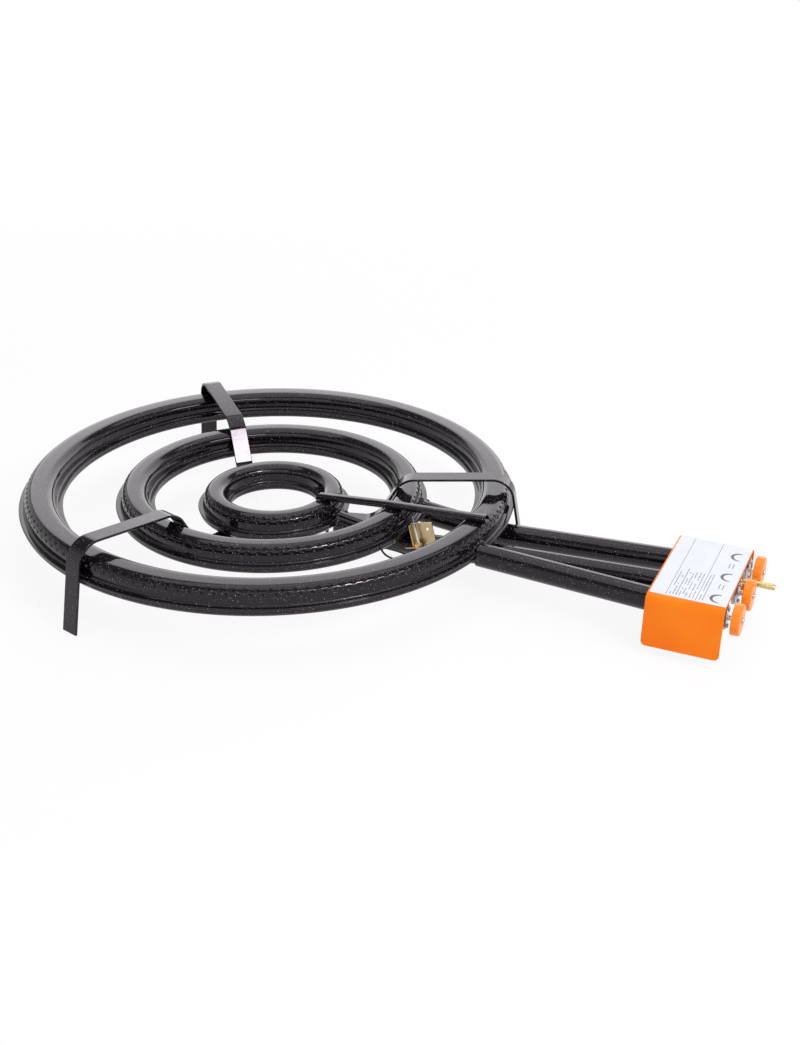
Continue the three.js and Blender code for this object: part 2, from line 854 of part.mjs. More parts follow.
const bodyBack = manifoldFront + fitGap;
const bodyFront = bodyBack + tapFlangeLength + tapBarrelLength;
const capBack = bodyFront + fitGap;
const capFront = capBack + capThickness;
const boreFloor = bodyBack + tapBoreFloor;
const shoulderFront = bodyFront - fitGap;
const shoulderBack = boreFloor + fitGap + washerThickness + fitGap + pushTravel;
const knobBack = coverFront + knobStandoff;
const knobFront = knobBack + knobThickness;

function injector() {
  const headFront = carrierFront - carrierSheet - fitGap;
  const headBack = headFront - injectorHeadLength;
  return turnedAboutX([
    [headBack - injectorTipLength, injectorBoreRadius],
    [headBack - injectorTipLength, injectorTipRadius],
    [headBack, injectorTipRadius],
    [headBack, injectorHeadRadius],
    [headFront, injectorHeadRadius],
    [headFront, spigotRadius],
    [manifoldBack + spigotLength / 2, spigotRadius],
    [manifoldBack + spigotLength / 2, injectorBoreRadius],
  ], smallSides);
}

// Plate with round ends, taller than wide
function oval(width, height) {
  const radius = width / 2;
  const rise = height / 2 - radius;
  const shape = new THREE.Shape();
  shape.absarc(0, rise, radius, 0, Math.PI);
  shape.absarc(0, -rise, radius, Math.PI, 2 * Math.PI);
  return shape;
}

function capScrewHoles(from, to) {
  return [-capScrewOffset, capScrewOffset].map((height) => (
    rod(screwHoleRadius, from, to, smallSides).translate(0, 0, height)
  ));
}

function tapBody() {
  const half = tapFlangeSize / 2;
  const flangeFront = bodyBack + tapFlangeLength;
  const whole = join([
    block([bodyBack, -half, -half], [flangeFront, half, half]),
    rod(tapBarrelRadius, flangeFront - fitGap, bodyFront, roundSides),
    alongX(oval(tapEarWidth, tapEarHeight), bodyFront - tapEarLength, bodyFront, arcSteps),
    rod(spigotRadius, bodyBack - spigotLength, bodyBack + fitGap, smallSides),
  ]);
  return cut(whole, [
    rod(tapBoreRadius, boreFloor, bodyFront + cutOverrun, roundSides),
    rod(tapPassageRadius, bodyBack - spigotLength - cutOverrun, boreFloor + cutOverrun, smallSides),
    ...capScrewHoles(bodyFront - tapEarLength - cutOverrun, bodyFront + cutOverrun),
  ]);
}

function tapCap() {
  return cut(alongX(oval(tapEarWidth, tapEarHeight), capBack, capFront, arcSteps), [
    rod(capHoleRadius, capBack - cutOverrun, capFront + cutOverrun, roundSides),
    ...capScrewHoles(capBack - cutOverrun, capFront + cutOverrun),
  ]);
}

function capScrew(name, height) {
  const geometry = screw(capScrewRadius, capScrewLength, capScrewHeadRadius, capScrewHeadLength);
  const mesh = piece(name, geometry, zincSteel);
  mesh.rotation.y = Math.PI;
  mesh.position.set(capFront + fitGap, 0, height);
  return mesh;
}

// Round section with one flat on its upper side
function flattenedRound(radius, flat) {
  const angle = Math.asin(flat / radius);
  const shape = new THREE.Shape();
  shape.absarc(0, 0, radius, Math.PI - angle, 2 * Math.PI + angle);
  return shape;
}

function spindle() {
  const tip = knobFront - knobWeb - fitGap;
  const section = flattenedRound(spindleRadius, spindleRadius * spindleFlatShare);
  const whole = join([
    rod(shoulderRadius, shoulderBack, shoulderFront, roundSides),
    alongX(section, shoulderFront - fitGap, tip, 2 * arcSteps),
  ]);
  return cut(whole, [
    rod(knobScrewRadius + fitGap, tip - knobScrewLength, tip + cutOverrun, smallSides),
  ]);
}

function knob() {
  const rimInside = knobRadius - knobRim;
  const webBack = knobFront - knobWeb;
  const disc = turnedAboutX([
    [knobBack, 0],
    [knobBack, knobHubRadius],
    [webBack, knobHubRadius],
    [webBack, rimInside],
    [knobBack, rimInside],
    [knobBack, knobRadius - knobChamfer],
    [knobBack + knobChamfer, knobRadius],
    [knobFront - knobChamfer, knobRadius],
    [knobFront, knobRadius - knobChamfer],
    [knobFront, 0],
  ], roundSides);
  const flat = spindleRadius * spindleFlatShare + fitGap;
  const socket = flattenedRound(spindleRadius + fitGap, flat);
  return cut(disc, [
    alongX(socket, knobBack - cutOverrun, webBack, 2 * arcSteps),
    rod(knobScrewRadius + fitGap, webBack - cutOverrun, knobFront + cutOverrun, smallSides),
  ]);
}

function knobScrew(name) {
  const geometry = screw(knobScrewRadius, knobScrewLength, knobScrewHeadRadius, knobScrewHeadLength);
  const mesh = piece(name, geometry, zincSteel);
  mesh.rotation.y = Math.PI;
  mesh.position.x = knobFront + fitGap;
  return mesh;
}

function tap(ringName, offset) {
  const group = new THREE.Group();
  group.position.set(0, offset, tapHeight);
  const washerFront = shoulderBack - fitGap;
  const washer = rod(shoulderRadius, washerFront - washerThickness, washerFront, smallSides);
  group.add(
    piece(`${ringName}_injector`, injector(), brass),
    piece(`${ringName}_tap_body`, tapBody(), castAluminium),
    piece(`${ringName}_tap_cap`, tapCap(), zincSteel),
    capScrew(`${ringName}_cap_screw_upper`, capScrewOffset),
    capScrew(`${ringName}_cap_screw_lower`, -capScrewOffset),
    piece(`${ringName}_thrust_washer`, washer, zincSteel),
    piece(`${ringName}_spindle`, spindle(), zincSteel),
    piece(`${ringName}_knob`, knob(), orangePaint),
    knobScrew(`${ringName}_knob_screw`),
  );
  return group;
}

// Inlet fitting: a spigot in the manifold, a collar and a barbed hose tail

function inletFitting() {
  const collarFront = bodyBack + inletNutLength + inletCollarLength;
  const barbStart = collarFront + inletPlainLength;
  const tip = barbStart + inletBarbs * inletBarbPitch;
  const barbs = [];
  for (let i = 0; i < inletBarbs; i += 1) {
    const from = barbStart + i * inletBarbPitch;
    barbs.push([from, inletRadius], [from, inletRadius + inletBarbRise]);
  }
  return turnedAboutX([
    [manifoldFront - spigotLength / 2, inletBoreRadius],
    [manifoldFront - spigotLength / 2, spigotRadius],
    [bodyBack + inletNutLength + fitGap, spigotRadius],
    [bodyBack + inletNutLength + fitGap, inletCollarRadius],
    [collarFront, inletCollarRadius],
    [collarFront, inletRadius],
    ...barbs,
    [tip, inletRadius],
    [tip, inletBoreRadius],
  ], smallSides);
}

function inletNut() {
  return nut(inletNutRadius, spigotRadius + fitGap, bodyBack, bodyBack + inletNutLength);
}

// Flame sensor: the bracket's foot is at the group's origin, against the feed tube's side

const sensorFoot = new THREE.Vector3(
  middleRingRadius + sensorRingGap,
  -(tubeRadius + fitGap + bracketSheet / 2),
  middleRing.bottom - sensorFootDrop,
);
const sensorLean = -degrees(sensorLeanAngle);

function sensorBracket() {
  const half = bracketSheet / 2;
  const corners = [
    new THREE.Vector2(bracketPlateRight, 0),
    new THREE.Vector2(-bracketPlateLeft, 0),
    new THREE.Vector2(-bracketPlateLeft, -bracketFlangeDepth),
  ];
  const section = bentSheet(corners, bracketSheet, bracketBendRadius, crownSteps);
  const plate = new THREE.ExtrudeGeometry(new THREE.Shape(section), {
    depth: bracketPlateHeight,
    bevelEnabled: false,
  });
  const body = join([
    plate,
    block([-bracketTabLeft, half - bracketTabDepth, 0], [bracketTabRight, half, bracketSheet]),
    block([-bracketLegHalfWidth, -half, -bracketLegLength], [bracketLegHalfWidth, half, bracketSheet]),
  ]);
  const hole = alongYRod(bracketHoleRadius, -half - cutOverrun, half + cutOverrun, smallSides);
  const rodHole = rod(sensorRodRadius + fitGap, -cutOverrun, bracketSheet + cutOverrun, smallSides);
  return cut(body, [
    hole.translate(bracketHoleRight, 0, bracketHoleHeight),
    standingOnTab(rodHole),
  ]);
}

// What lies along X about the axis is stood up at the sensor rod's place on the tab
function standingOnTab(geometry) {
  return geometry.rotateY(-Math.PI / 2).translate(sensorRodRight, -sensorStandoff, 0);
}

function sensor() {
  const group = new THREE.Group();
  group.position.copy(sensorFoot);
  group.rotation.y = sensorLean;
  const nutBottom = bracketSheet + fitGap;
  const rodNut = nut(sensorNutRadius, sensorRodRadius + fitGap, nutBottom, nutBottom + sensorNutLength);
  const bar = turnedAboutX([
    [-sensorRodTail, 0],
    [-sensorRodTail, sensorRodRadius],
    [sensorRodHeight - sensorTipLength, sensorRodRadius],
    [sensorRodHeight - sensorTipLength, sensorTipRadius],
    [sensorRodHeight, sensorTipRadius],
    [sensorRodHeight, 0],
  ], smallSides);
  group.add(
    piece('sensor_bracket', sensorBracket(), yellowZinc),
    piece('sensor_rod', standingOnTab(bar), sheathSteel),
    piece('sensor_nut', standingOnTab(rodNut), yellowZinc),
  );
  return group;
}

// Lead: from the sensor rod's lower end through a loop under the middle ring, along the inner
// ring's feed tube and into the cover, to the nut behind the manifold. The loop's points are
// shares of its size, from the bracket's foot.
const leadLoopShares = [
  [0.095, -0.176, -0.18],
  [0, -0.196, -0.293],
  [-0.325, -0.246, -0.293],
  [-0.725, -0.346, -0.193],
  [-0.95, -0.571, -0.068],
  [-0.825, -0.896, -0.018],
  [-0.425, -1.096, -0.043],
  [0.225, -0.996, -0.068],
  [1.125, -0.521, 0.058],
];

function sensorLead() {
  const end = carrierFront - carrierSheet - fitGap - leadSeat;
  const start = new THREE.Vector3(sensorRodRight, -sensorStandoff, -sensorRodTail - fitGap);
  start.applyAxisAngle(new THREE.Vector3(0, 1, 0), sensorLean).add(sensorFoot);
  const loop = leadLoopShares.map((shares) => (
    new THREE.Vector3(...shares).multiplyScalar(leadLoopSize).add(sensorFoot)
  ));
  const line = new THREE.CatmullRomCurve3([
    start,
    ...loop,
    new THREE.Vector3(
      outerRingRadius,
      -(tubeRadius + leadPassGap),
      outerRing.bottom - leadPassDrop,
    ),
    new THREE.Vector3(coverBack + leadEntryInset, -leadOffset, tapHeight),
    new THREE.Vector3(end, -leadOffset, tapHeight),
  ], false, 'centripetal');
  return new THREE.ExtrudeGeometry(circle(leadRadius), {
    steps: leadSteps,
    extrudePath: line,
    curveSegments: leadSides / 2,
  });
}

function leadNut() {
  const front = carrierFront - carrierSheet - fitGap;
  const clamp = nut(leadNutRadius, leadRadius + fitGap, front - leadNutLength, front);
  return clamp.translate(0, -leadOffset, tapHeight);
}

// Whole burner

const burner = new THREE.Group();
const outerChannel = cut(ringChannel(outerRing), [gasHole(outerRing, -outerTubeOffset)]);
const middleChannel = cut(ringChannel(middleRing), [gasHole(middleRing, middleTubeOffset)]);
const innerChannel = cut(ringChannel(innerRing), [gasHole(innerRing, 0)]);
burner.add(
  piece('outer_ring_channel', outerChannel, enamel),
  piece('outer_ring_cover', ringCover(outerRing), enamel),
  piece('middle_ring_channel', middleChannel, enamel),
  piece('middle_ring_cover', ringCover(middleRing), enamel),
  piece('inner_ring_channel', innerChannel, enamel),
  piece('inner_ring_cover', ringCover(innerRing), enamel),
  support('support_right', rightSupportAngle),
  support('support_rear', rearSupportAngle),
  support('support_left', leftSupportAngle),
  piece('outer_feed_tube', feedTube(outerTubeRoute, outerRing), enamel),
  piece('middle_feed_tube', feedTube(middleTubeRoute, middleRing), enamel),
  piece('inner_feed_tube', feedTube(innerTubeRoute, innerRing), enamel),
  flameBridge(),
  piece('valve_cover', valveCover(), orangePaint),
  piece('label_plate', label(), labelFilm),
  piece('valve_carrier', valveCarrier(), zincSteel),
  piece('gas_manifold', gasManifold(), castAluminium),
  piece('manifold_plug', manifoldPlug(), zincSteel),
  plateScrew('manifold_screw_near', -plateScrewOffset),
  plateScrew('manifold_screw_far', plateScrewOffset),
  ...Object.entries(taps).map(([ringName, offset]) => tap(ringName, offset)),
  piece('inlet_fitting', inletFitting().translate(0, inletOffset, tapHeight), brass),
  piece('inlet_nut', inletNut().translate(0, inletOffset, tapHeight), brass),
  sensor(),
  piece('sensor_lead', sensorLead(), leadSleeve),
  piece('lead_nut', leadNut(), brass),
);

// The origin is the middle of the burner's outline on the floor
const extent = new THREE.Box3().setFromObject(burner, true);
const middleOfOutline = extent.getCenter(new THREE.Vector3());
burner.position.set(-middleOfOutline.x, -middleOfOutline.y, -extent.min.z);
burner.updateMatrixWorld(true);

export default burner;
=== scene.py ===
import math
import random

import bmesh
import bpy
from mathutils import Matrix, Vector

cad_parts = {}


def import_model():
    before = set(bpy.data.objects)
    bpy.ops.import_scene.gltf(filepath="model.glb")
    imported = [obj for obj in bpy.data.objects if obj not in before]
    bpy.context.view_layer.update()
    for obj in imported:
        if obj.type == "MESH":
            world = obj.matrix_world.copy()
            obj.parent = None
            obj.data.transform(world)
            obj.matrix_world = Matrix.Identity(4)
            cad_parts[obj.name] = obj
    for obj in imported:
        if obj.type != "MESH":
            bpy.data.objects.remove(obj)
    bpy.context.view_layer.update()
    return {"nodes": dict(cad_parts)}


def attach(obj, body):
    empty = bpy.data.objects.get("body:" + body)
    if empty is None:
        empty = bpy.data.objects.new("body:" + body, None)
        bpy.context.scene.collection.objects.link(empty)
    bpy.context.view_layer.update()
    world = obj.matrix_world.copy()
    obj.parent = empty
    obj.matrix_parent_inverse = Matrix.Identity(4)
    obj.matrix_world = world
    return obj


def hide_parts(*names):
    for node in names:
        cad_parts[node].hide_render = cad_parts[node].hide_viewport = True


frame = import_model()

bpy.context.scene.view_settings.view_transform = "Standard"

# Pieces are drawn in millimetres from the rings' common axis, with Z above the floor.
MM = 0.001
RING_AXIS = Vector((-164.75, 2.0877, 0.0))
TO_FRAME = Matrix.Scale(MM, 4) @ Matrix.Translation(RING_AXIS)

# Camera: solved from the ring ellipses, the tubes and the cover's edges

camera_data = bpy.data.cameras.new("camera")
camera_data.sensor_width = 36
camera_data.lens = 49.24
camera_data.shift_x = -0.1514
camera_data.shift_y = 0.0018
camera = bpy.data.objects.new("camera", camera_data)
bpy.context.scene.collection.objects.link(camera)
view_right = Vector((0.94654, 0.31761, 0.05650))
view_down = Vector((0.19159, -0.41256, -0.89056))
view_ahead = Vector((-0.25954, 0.85377, -0.45135))
camera.matrix_world = Matrix.Translation((0.64195, -1.42601, 0.8508)) @ Matrix(
    (view_right, -view_down, -view_ahead)
).transposed().to_4x4()
bpy.context.scene.camera = camera


# Materials


def linear(hex_colour):
    """sRGB hex colour as the linear colour that a shader takes"""
    channels = [int(hex_colour[i : i + 2], 16) / 255 for i in (1, 3, 5)]
    return (
        *(c / 12.92 if c <= 0.04045 else ((c + 0.055) / 1.055) ** 2.4 for c in channels),
        1.0,
    )


def add(tree, kind, inputs=None, **settings):
    """Adds a node; an input is a value or the socket that feeds it"""
    node = tree.nodes.new(kind)
    for name, value in settings.items():
        setattr(node, name, value)
    for key, value in (inputs or {}).items():
        if isinstance(value, bpy.types.NodeSocket):
            tree.links.new(value, node.inputs[key])
        else:
            node.inputs[key].default_value = value
    return node


def finish_named(name, **shader_values):
    """A material with its shader, and the piece's own coordinates in metres"""
    material = bpy.data.materials.new(name)
    material.use_nodes = True
    tree = material.node_tree
    tree.nodes.clear()
    shader = add(tree, "ShaderNodeBsdfPrincipled", shader_values)
    output = add(tree, "ShaderNodeOutputMaterial")
    tree.links.new(shader.outputs["BSDF"], output.inputs["Surface"])
    place = add(tree, "ShaderNodeTexCoord").outputs["Object"]
    return material, tree, shader, place


def blend_colours(tree, factor, first, second):
    mix = add(
        tree,
        "ShaderNodeMix",
        {0: factor, 6: first, 7: second},
        data_type="RGBA",
    )
    return mix.outputs[2]


def grain(tree, place, size_mm, detail=2.0):
    """Noise whose blobs are about size_mm across, 0 to 1"""
    return add(
        tree,
        "ShaderNodeTexNoise",
        {"Vector": place, "Scale": 1000 / size_mm, "Detail": detail},
    ).outputs["Fac"]


def spread(tree, value, from_low, from_high, to_low, to_high):
    return add(
        tree,
        "ShaderNodeMapRange",
        {"Value": value, 1: from_low, 2: from_high, 3: to_low, 4: to_high},
    ).outputs[0]


def combine(tree, operation, first, second):
    return add(
        tree, "ShaderNodeMath", {0: first, 1: second}, operation=operation
    ).outputs[0]


def vary_colour(tree, shader, factor, first_hex, second_hex):
    colour = blend_colours(tree, factor, linear(first_hex), linear(second_hex))
    tree.links.new(colour, shader.inputs["Base Color"])


def vary_gloss(tree, shader, place, size_mm, smooth, rough, detail=2.0):
    """Roughness that drifts between two values over patches of about size_mm"""
    gloss = spread(tree, grain(tree, place, size_mm, detail), 0.3, 0.7, smooth, rough)
    tree.links.new(gloss, shader.inputs["Roughness"])


def raise_surface(tree, shader, height, strength, distance_mm):
    bump = add(
        tree,
        "ShaderNodeBump",
        {"Height": height, "Strength": strength, "Distance": distance_mm * MM},
    )
    tree.links.new(bump.outputs["Normal"], shader.inputs["Normal"])


def vitreous_enamel():
    """Black glass fired on steel: very glossy, slightly wavy, with fine white flecks"""
    material, tree, shader, place = finish_named(
        "vitreous_enamel", **{"IOR": 1.42, "Specular Tint": linear("#fff3ff")}
    )
    flecks = []
    # Real flecks are about 0.2 mm wide. These are 0.5 to 0.7 mm, so that they show in a picture.
    for cell_mm, reach, kept in ((2.2, 0.16, 0.6), (1.2, 0.2, 0.72)):
        cells = add(
            tree,
            "ShaderNodeTexVoronoi",
            {"Vector": place, "Scale": 1000 / cell_mm},
        )
        dot = spread(tree, cells.outputs["Distance"], reach * 0.6, reach, 1.0, 0.0)
        chance = add(tree, "ShaderNodeSeparateColor", {"Color": cells.outputs["Color"]})
        strong = spread(tree, chance.outputs[0], kept, 1.0, 0.0, 1.0)
        flecks.append(combine(tree, "MULTIPLY", dot, strong))
    both = combine(tree, "MAXIMUM", *flecks)
    ground = blend_colours(
        tree, grain(tree, place, 30), linear("#0c080c"), linear("#140f14")
    )
    colour = blend_colours(tree, both, ground, linear("#e6e8f0"))
    tree.links.new(colour, shader.inputs["Base Color"])
    vary_gloss(tree, shader, place, 9, 0.07, 0.12, detail=3.0)
    # Orange peel of the fired glaze, 5 mm from crest to crest
    raise_surface(tree, shader, grain(tree, place, 5, 1.0), 0.22, 0.12)
    return material


def port_shadow():
    """Painted shade for the inside of a punched flame port: a near-black, dull face at the floor
    of a shallow recess stands in for the dark hole
    """
    material, tree, shader, place = finish_named("port_shadow", **{"Roughness": 0.8})
    vary_colour(tree, shader, grain(tree, place, 1.5), "#030303", "#0b0a0a")
    return material


def powder_coat():
    """Orange polyester powder baked on sheet steel: half gloss with a fine orange peel"""
    material, tree, shader, place = finish_named(
        "powder_coat_orange", **{"IOR": 1.5, "Specular IOR Level": 0.2}
    )
    wide = spread(tree, grain(tree, place, 60, 1.0), 0.3, 0.7, 0.0, 1.0)
    vary_colour(tree, shader, wide, "#fc7406", "#ff860c")
    vary_gloss(tree, shader, place, 4, 0.33, 0.42)
    raise_surface(tree, shader, grain(tree, place, 0.9, 2.0), 0.2, 0.06)
    return material


def moulded_plastic():
    """Heat-resistant orange moulding: smooth with a faint moulded grain"""
    material, tree, shader, place = finish_named(
        "moulded_plastic_orange", **{"IOR": 1.5, "Specular IOR Level": 0.4}
    )
    vary_colour(tree, shader, grain(tree, place, 12), "#fb7f12", "#ff9120")
    vary_gloss(tree, shader, place, 3, 0.24, 0.32)
    raise_surface(tree, shader, grain(tree, place, 0.6), 0.1, 0.04)
    return material


def label_film():
    """White polyester label film with a satin face"""
    material, tree, shader, place = finish_named(
        "label_film", **{"IOR": 1.45, "Specular IOR Level": 0.3}
    )
    vary_colour(tree, shader, grain(tree, place, 25), "#dcdfe7", "#e5e7ef")
    vary_gloss(tree, shader, place, 6, 0.5, 0.62)
    raise_surface(tree, shader, grain(tree, place, 8), 0.05, 0.05)
    return material


def printing_ink(name, shade):
    """Screen-printed ink on the label, a little thin in places"""
    material, tree, shader, place = finish_named(name, **{"Roughness": 0.55})
    thin = spread(tree, grain(tree, place, 0.7), 0.35, 0.75, 0.0, 0.35)
    vary_colour(tree, shader, thin, shade, "#d8d8de")
    return material


def plated_metal(name, dark, light, roughness, grain_mm, bump):
    """Metal with a thin plated or turned skin: colour and gloss drift a little"""
    material, tree, shader, place = finish_named(name, **{"Metallic": 1.0})
    vary_colour(tree, shader, grain(tree, place, grain_mm, 3.0), dark, light)
    vary_gloss(tree, shader, place, grain_mm / 2, roughness - 0.06, roughness + 0.08)
    raise_surface(tree, shader, grain(tree, place, grain_mm / 6), bump, 0.05)
    return material


def lead_sleeve():
    """Black woven glass sleeve over the sensor's copper lead: dull, finely ribbed"""
    material, tree, shader, place = finish_named("lead_sleeve", **{"Roughness": 0.62})
    ribs = grain(tree, place, 0.8)
    vary_colour(tree, shader, ribs, "#0c0c0e", "#26262a")
    raise_surface(tree, shader, ribs, 0.4, 0.1)
    return material


ENAMEL = vitreous_enamel()
# Painted shade for the floors of the flame ports
PORT_SHADE = port_shadow()
POWDER = powder_coat()
PLASTIC = moulded_plastic()
FILM = label_film()
INK = printing_ink("label_ink_dark", "#1e1e24")
PALE_INK = printing_ink("label_ink_grey", "#5c5c66")
# Bright zinc: bluish silver, mirror-like but soft
ZINC = plated_metal("bright_zinc", "#9fa2a6", "#d9dbde", 0.22, 3, 0.1)
# Yellow-passivated zinc: straw gold with a cloudy sheen
YELLOW_ZINC = plated_metal("yellow_zinc", "#b39a74", "#dcc8a4", 0.34, 5, 0.15)
# Steel of the valve carrier under the cover: dull, and its dark grey is painted shade for the gap
# under the cover
CARRIER_SHADED_STEEL = plated_metal("steel_darkened_as_shade", "#3a3b3e", "#5a5c60", 0.5, 2, 0.2)
# Turned brass: pale gold, fine tool marks
BRASS = plated_metal("turned_brass", "#b59a62", "#e4d0a0", 0.24, 2, 0.15)
# Die-cast aluminium: light grey, sandy skin
CAST = plated_metal("cast_aluminium", "#8f9296", "#bfc1c4", 0.45, 1.5, 0.4)
# Stainless sheath: bright, drawn
SHEATH = plated_metal("drawn_stainless", "#c4c5c6", "#eeeeed", 0.16, 2, 0.05)
SLEEVE = lead_sleeve()

# Making pieces

# Points nearer than this are one point: in millimetres, and in metres once a piece is placed
SAME_PLACE = 1e-3
SAME_PLACE_M = 2e-6


def verts_of(geom):
    return [g for g in geom if isinstance(g, bmesh.types.BMVert)]


def edges_of(geom):
    return [g for g in geom if isinstance(g, bmesh.types.BMEdge)]


def make(name, bm, materials, stands_for=(), body="burner", sharp=35, placed=False):
    """The mesh as a piece in the row frame that rides on its body"""
    if not placed:
        bmesh.ops.transform(bm, matrix=TO_FRAME, verts=bm.verts)
    bmesh.ops.remove_doubles(bm, verts=bm.verts, dist=SAME_PLACE_M)
    bmesh.ops.recalc_face_normals(bm, faces=bm.faces)
    for face in bm.faces:
        face.smooth = True
    for edge in bm.edges:
        if len(edge.link_faces) == 2 and edge.calc_face_angle() > math.radians(sharp):
            edge.smooth = False
    mesh = bpy.data.meshes.new(name)
    bm.to_mesh(mesh)
    bm.free()
    for material in materials:
        mesh.materials.append(material)
    piece = bpy.data.objects.new(name, mesh)
    bpy.context.scene.collection.objects.link(piece)
    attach(piece, body)
    if stands_for:
        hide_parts(*stands_for)
    return piece


def round_edges(piece, width_mm, segments, angle):
    """Rounds each edge sharper than the angle; flat faces stay flat right up to it"""
    bevel = piece.modifiers.new("rounded edges", "BEVEL")
    bevel.width = width_mm * MM
    bevel.segments = segments
    bevel.limit_method = "ANGLE"
    bevel.angle_limit = math.radians(angle)
    bevel.harden_normals = True


def give_thickness(piece, thickness_mm):
    wall = piece.modifiers.new("sheet", "SOLIDIFY")
    wall.thickness = thickness_mm * MM
    wall.offset = 0
    wall.use_even_offset = True


def round_off(bm, geom, affect, amount, segments):
    """Rounds corners (VERTICES) or folds (EDGES) by a length along what meets there"""
    bmesh.ops.bevel(
        bm,
        geom=geom,
        affect=affect,
        offset=amount,
        offset_type={"VERTICES": "ABSOLUTE", "EDGES": "OFFSET"}[affect],
        segments=segments,
        profile=0.5,
        material=-1,
    )


def outline(bm, corners, axes):
    """Closed wire outline in a plane, each corner (a, b, rounding) rounded by its own length"""
    across, up = axes
    verts = [bm.verts.new(across * a + up * b) for a, b, *_ in corners]
    bm.faces.new(verts)
    for vert, (_, _, *rounding) in zip(verts, corners):
        if rounding and rounding[0]:
            round_off(bm, [vert], "VERTICES", rounding[0], 4)
    bmesh.ops.delete(bm, geom=bm.faces[:], context="FACES_ONLY")
    return bm.verts[:] + bm.edges[:]


def turn(bm, geom, axis, steps, centre=(0, 0, 0)):
    bmesh.ops.spin(
        bm,
        geom=geom,
        cent=centre,
        axis=axis,
        angle=2 * math.pi,
        steps=steps,
        use_merge=True,
    )
    bmesh.ops.remove_doubles(bm, verts=bm.verts, dist=SAME_PLACE)


X = Vector((1, 0, 0))
Y = Vector((0, 1, 0))
Z = Vector((0, 0, 1))

# Rings: outer radius and width of the channel, height of its underside, how far the cover's
# inner wall stands in from it, and the number of flame ports in each of the two rows

RINGS = {
    "outer": {"radius": 300, "width": 50, "bottom": 53.9, "inner_inset": 8, "ports": 140},
    "middle": {"radius": 190, "width": 46, "bottom": 45.3, "inner_inset": 8, "ports": 90},
    "inner": {"radius": 93, "width": 40, "bottom": 35.0, "inner_inset": 5.5, "ports": 42},
}
OUTER_INSET = 7.4
CROWN = 10.4
# Drawn a little larger, because the subdivision draws it in by this much
CROWN_DRAWN = CROWN + 0.15
RING_HEIGHT = 33.3
LIP_INSET = 2.8
# Degrees up the outer crown between which each row of ports lies
PORT_ROWS = ((3, 31), (31, 59))
# Width and depth of each step into a port: the punch's dish, the hole's wall, and the floor, which
# is painted near black as the hole's shade
PORT_DISH, PORT_WALL, PORT_INSIDE = (0.85, -0.35), (0.45, -0.5), (0.15, -0.9)
PORT_SQUASH = 0.72


def ring_channel(name, ring):
    """Pressed channel: rolled rim, a neck under it, one pressed line, soft lower corners"""
    # In from the wall, up from the underside, rounding
    side = [
        (3.5, 12.7, 0),
        (0, 13.0, 1.1),
        (0, 10.4, 1.0),
        (1.1, 9.9, 0.35),
        (0.9, 7.9, 0.3),
        (1.6, 7.4, 0.2),
        (1.3, 6.6, 0.3),
        (3.0, 3.2, 2.0),
        (10.0, 0, 5.0),
    ]
    outside, inside = ring["radius"], ring["radius"] - ring["width"]
    bottom = ring["bottom"]
    corners = [(outside - i, bottom + z, r) for i, z, r in side]
    corners += [(inside + i, bottom + z, r) for i, z, r in reversed(side)]
    # The inner ring has few ports, so its channel takes more steps for each
    steps = ring["ports"] * (4 if name == "inner" else 2)
    bm = bmesh.new()
    turn(bm, outline(bm, corners, (X, Z)), Z, steps)
    make(
        f"{name}_ring_channel_enamelled",
        bm,
        [ENAMEL],
        [f"{name}_ring_channel"],
        sharp=50,
    )


def on_crown(centre, radius, degrees):
    angle = math.radians(degrees)
    return centre[0] + radius * math.cos(angle), centre[1] + radius * math.sin(angle)


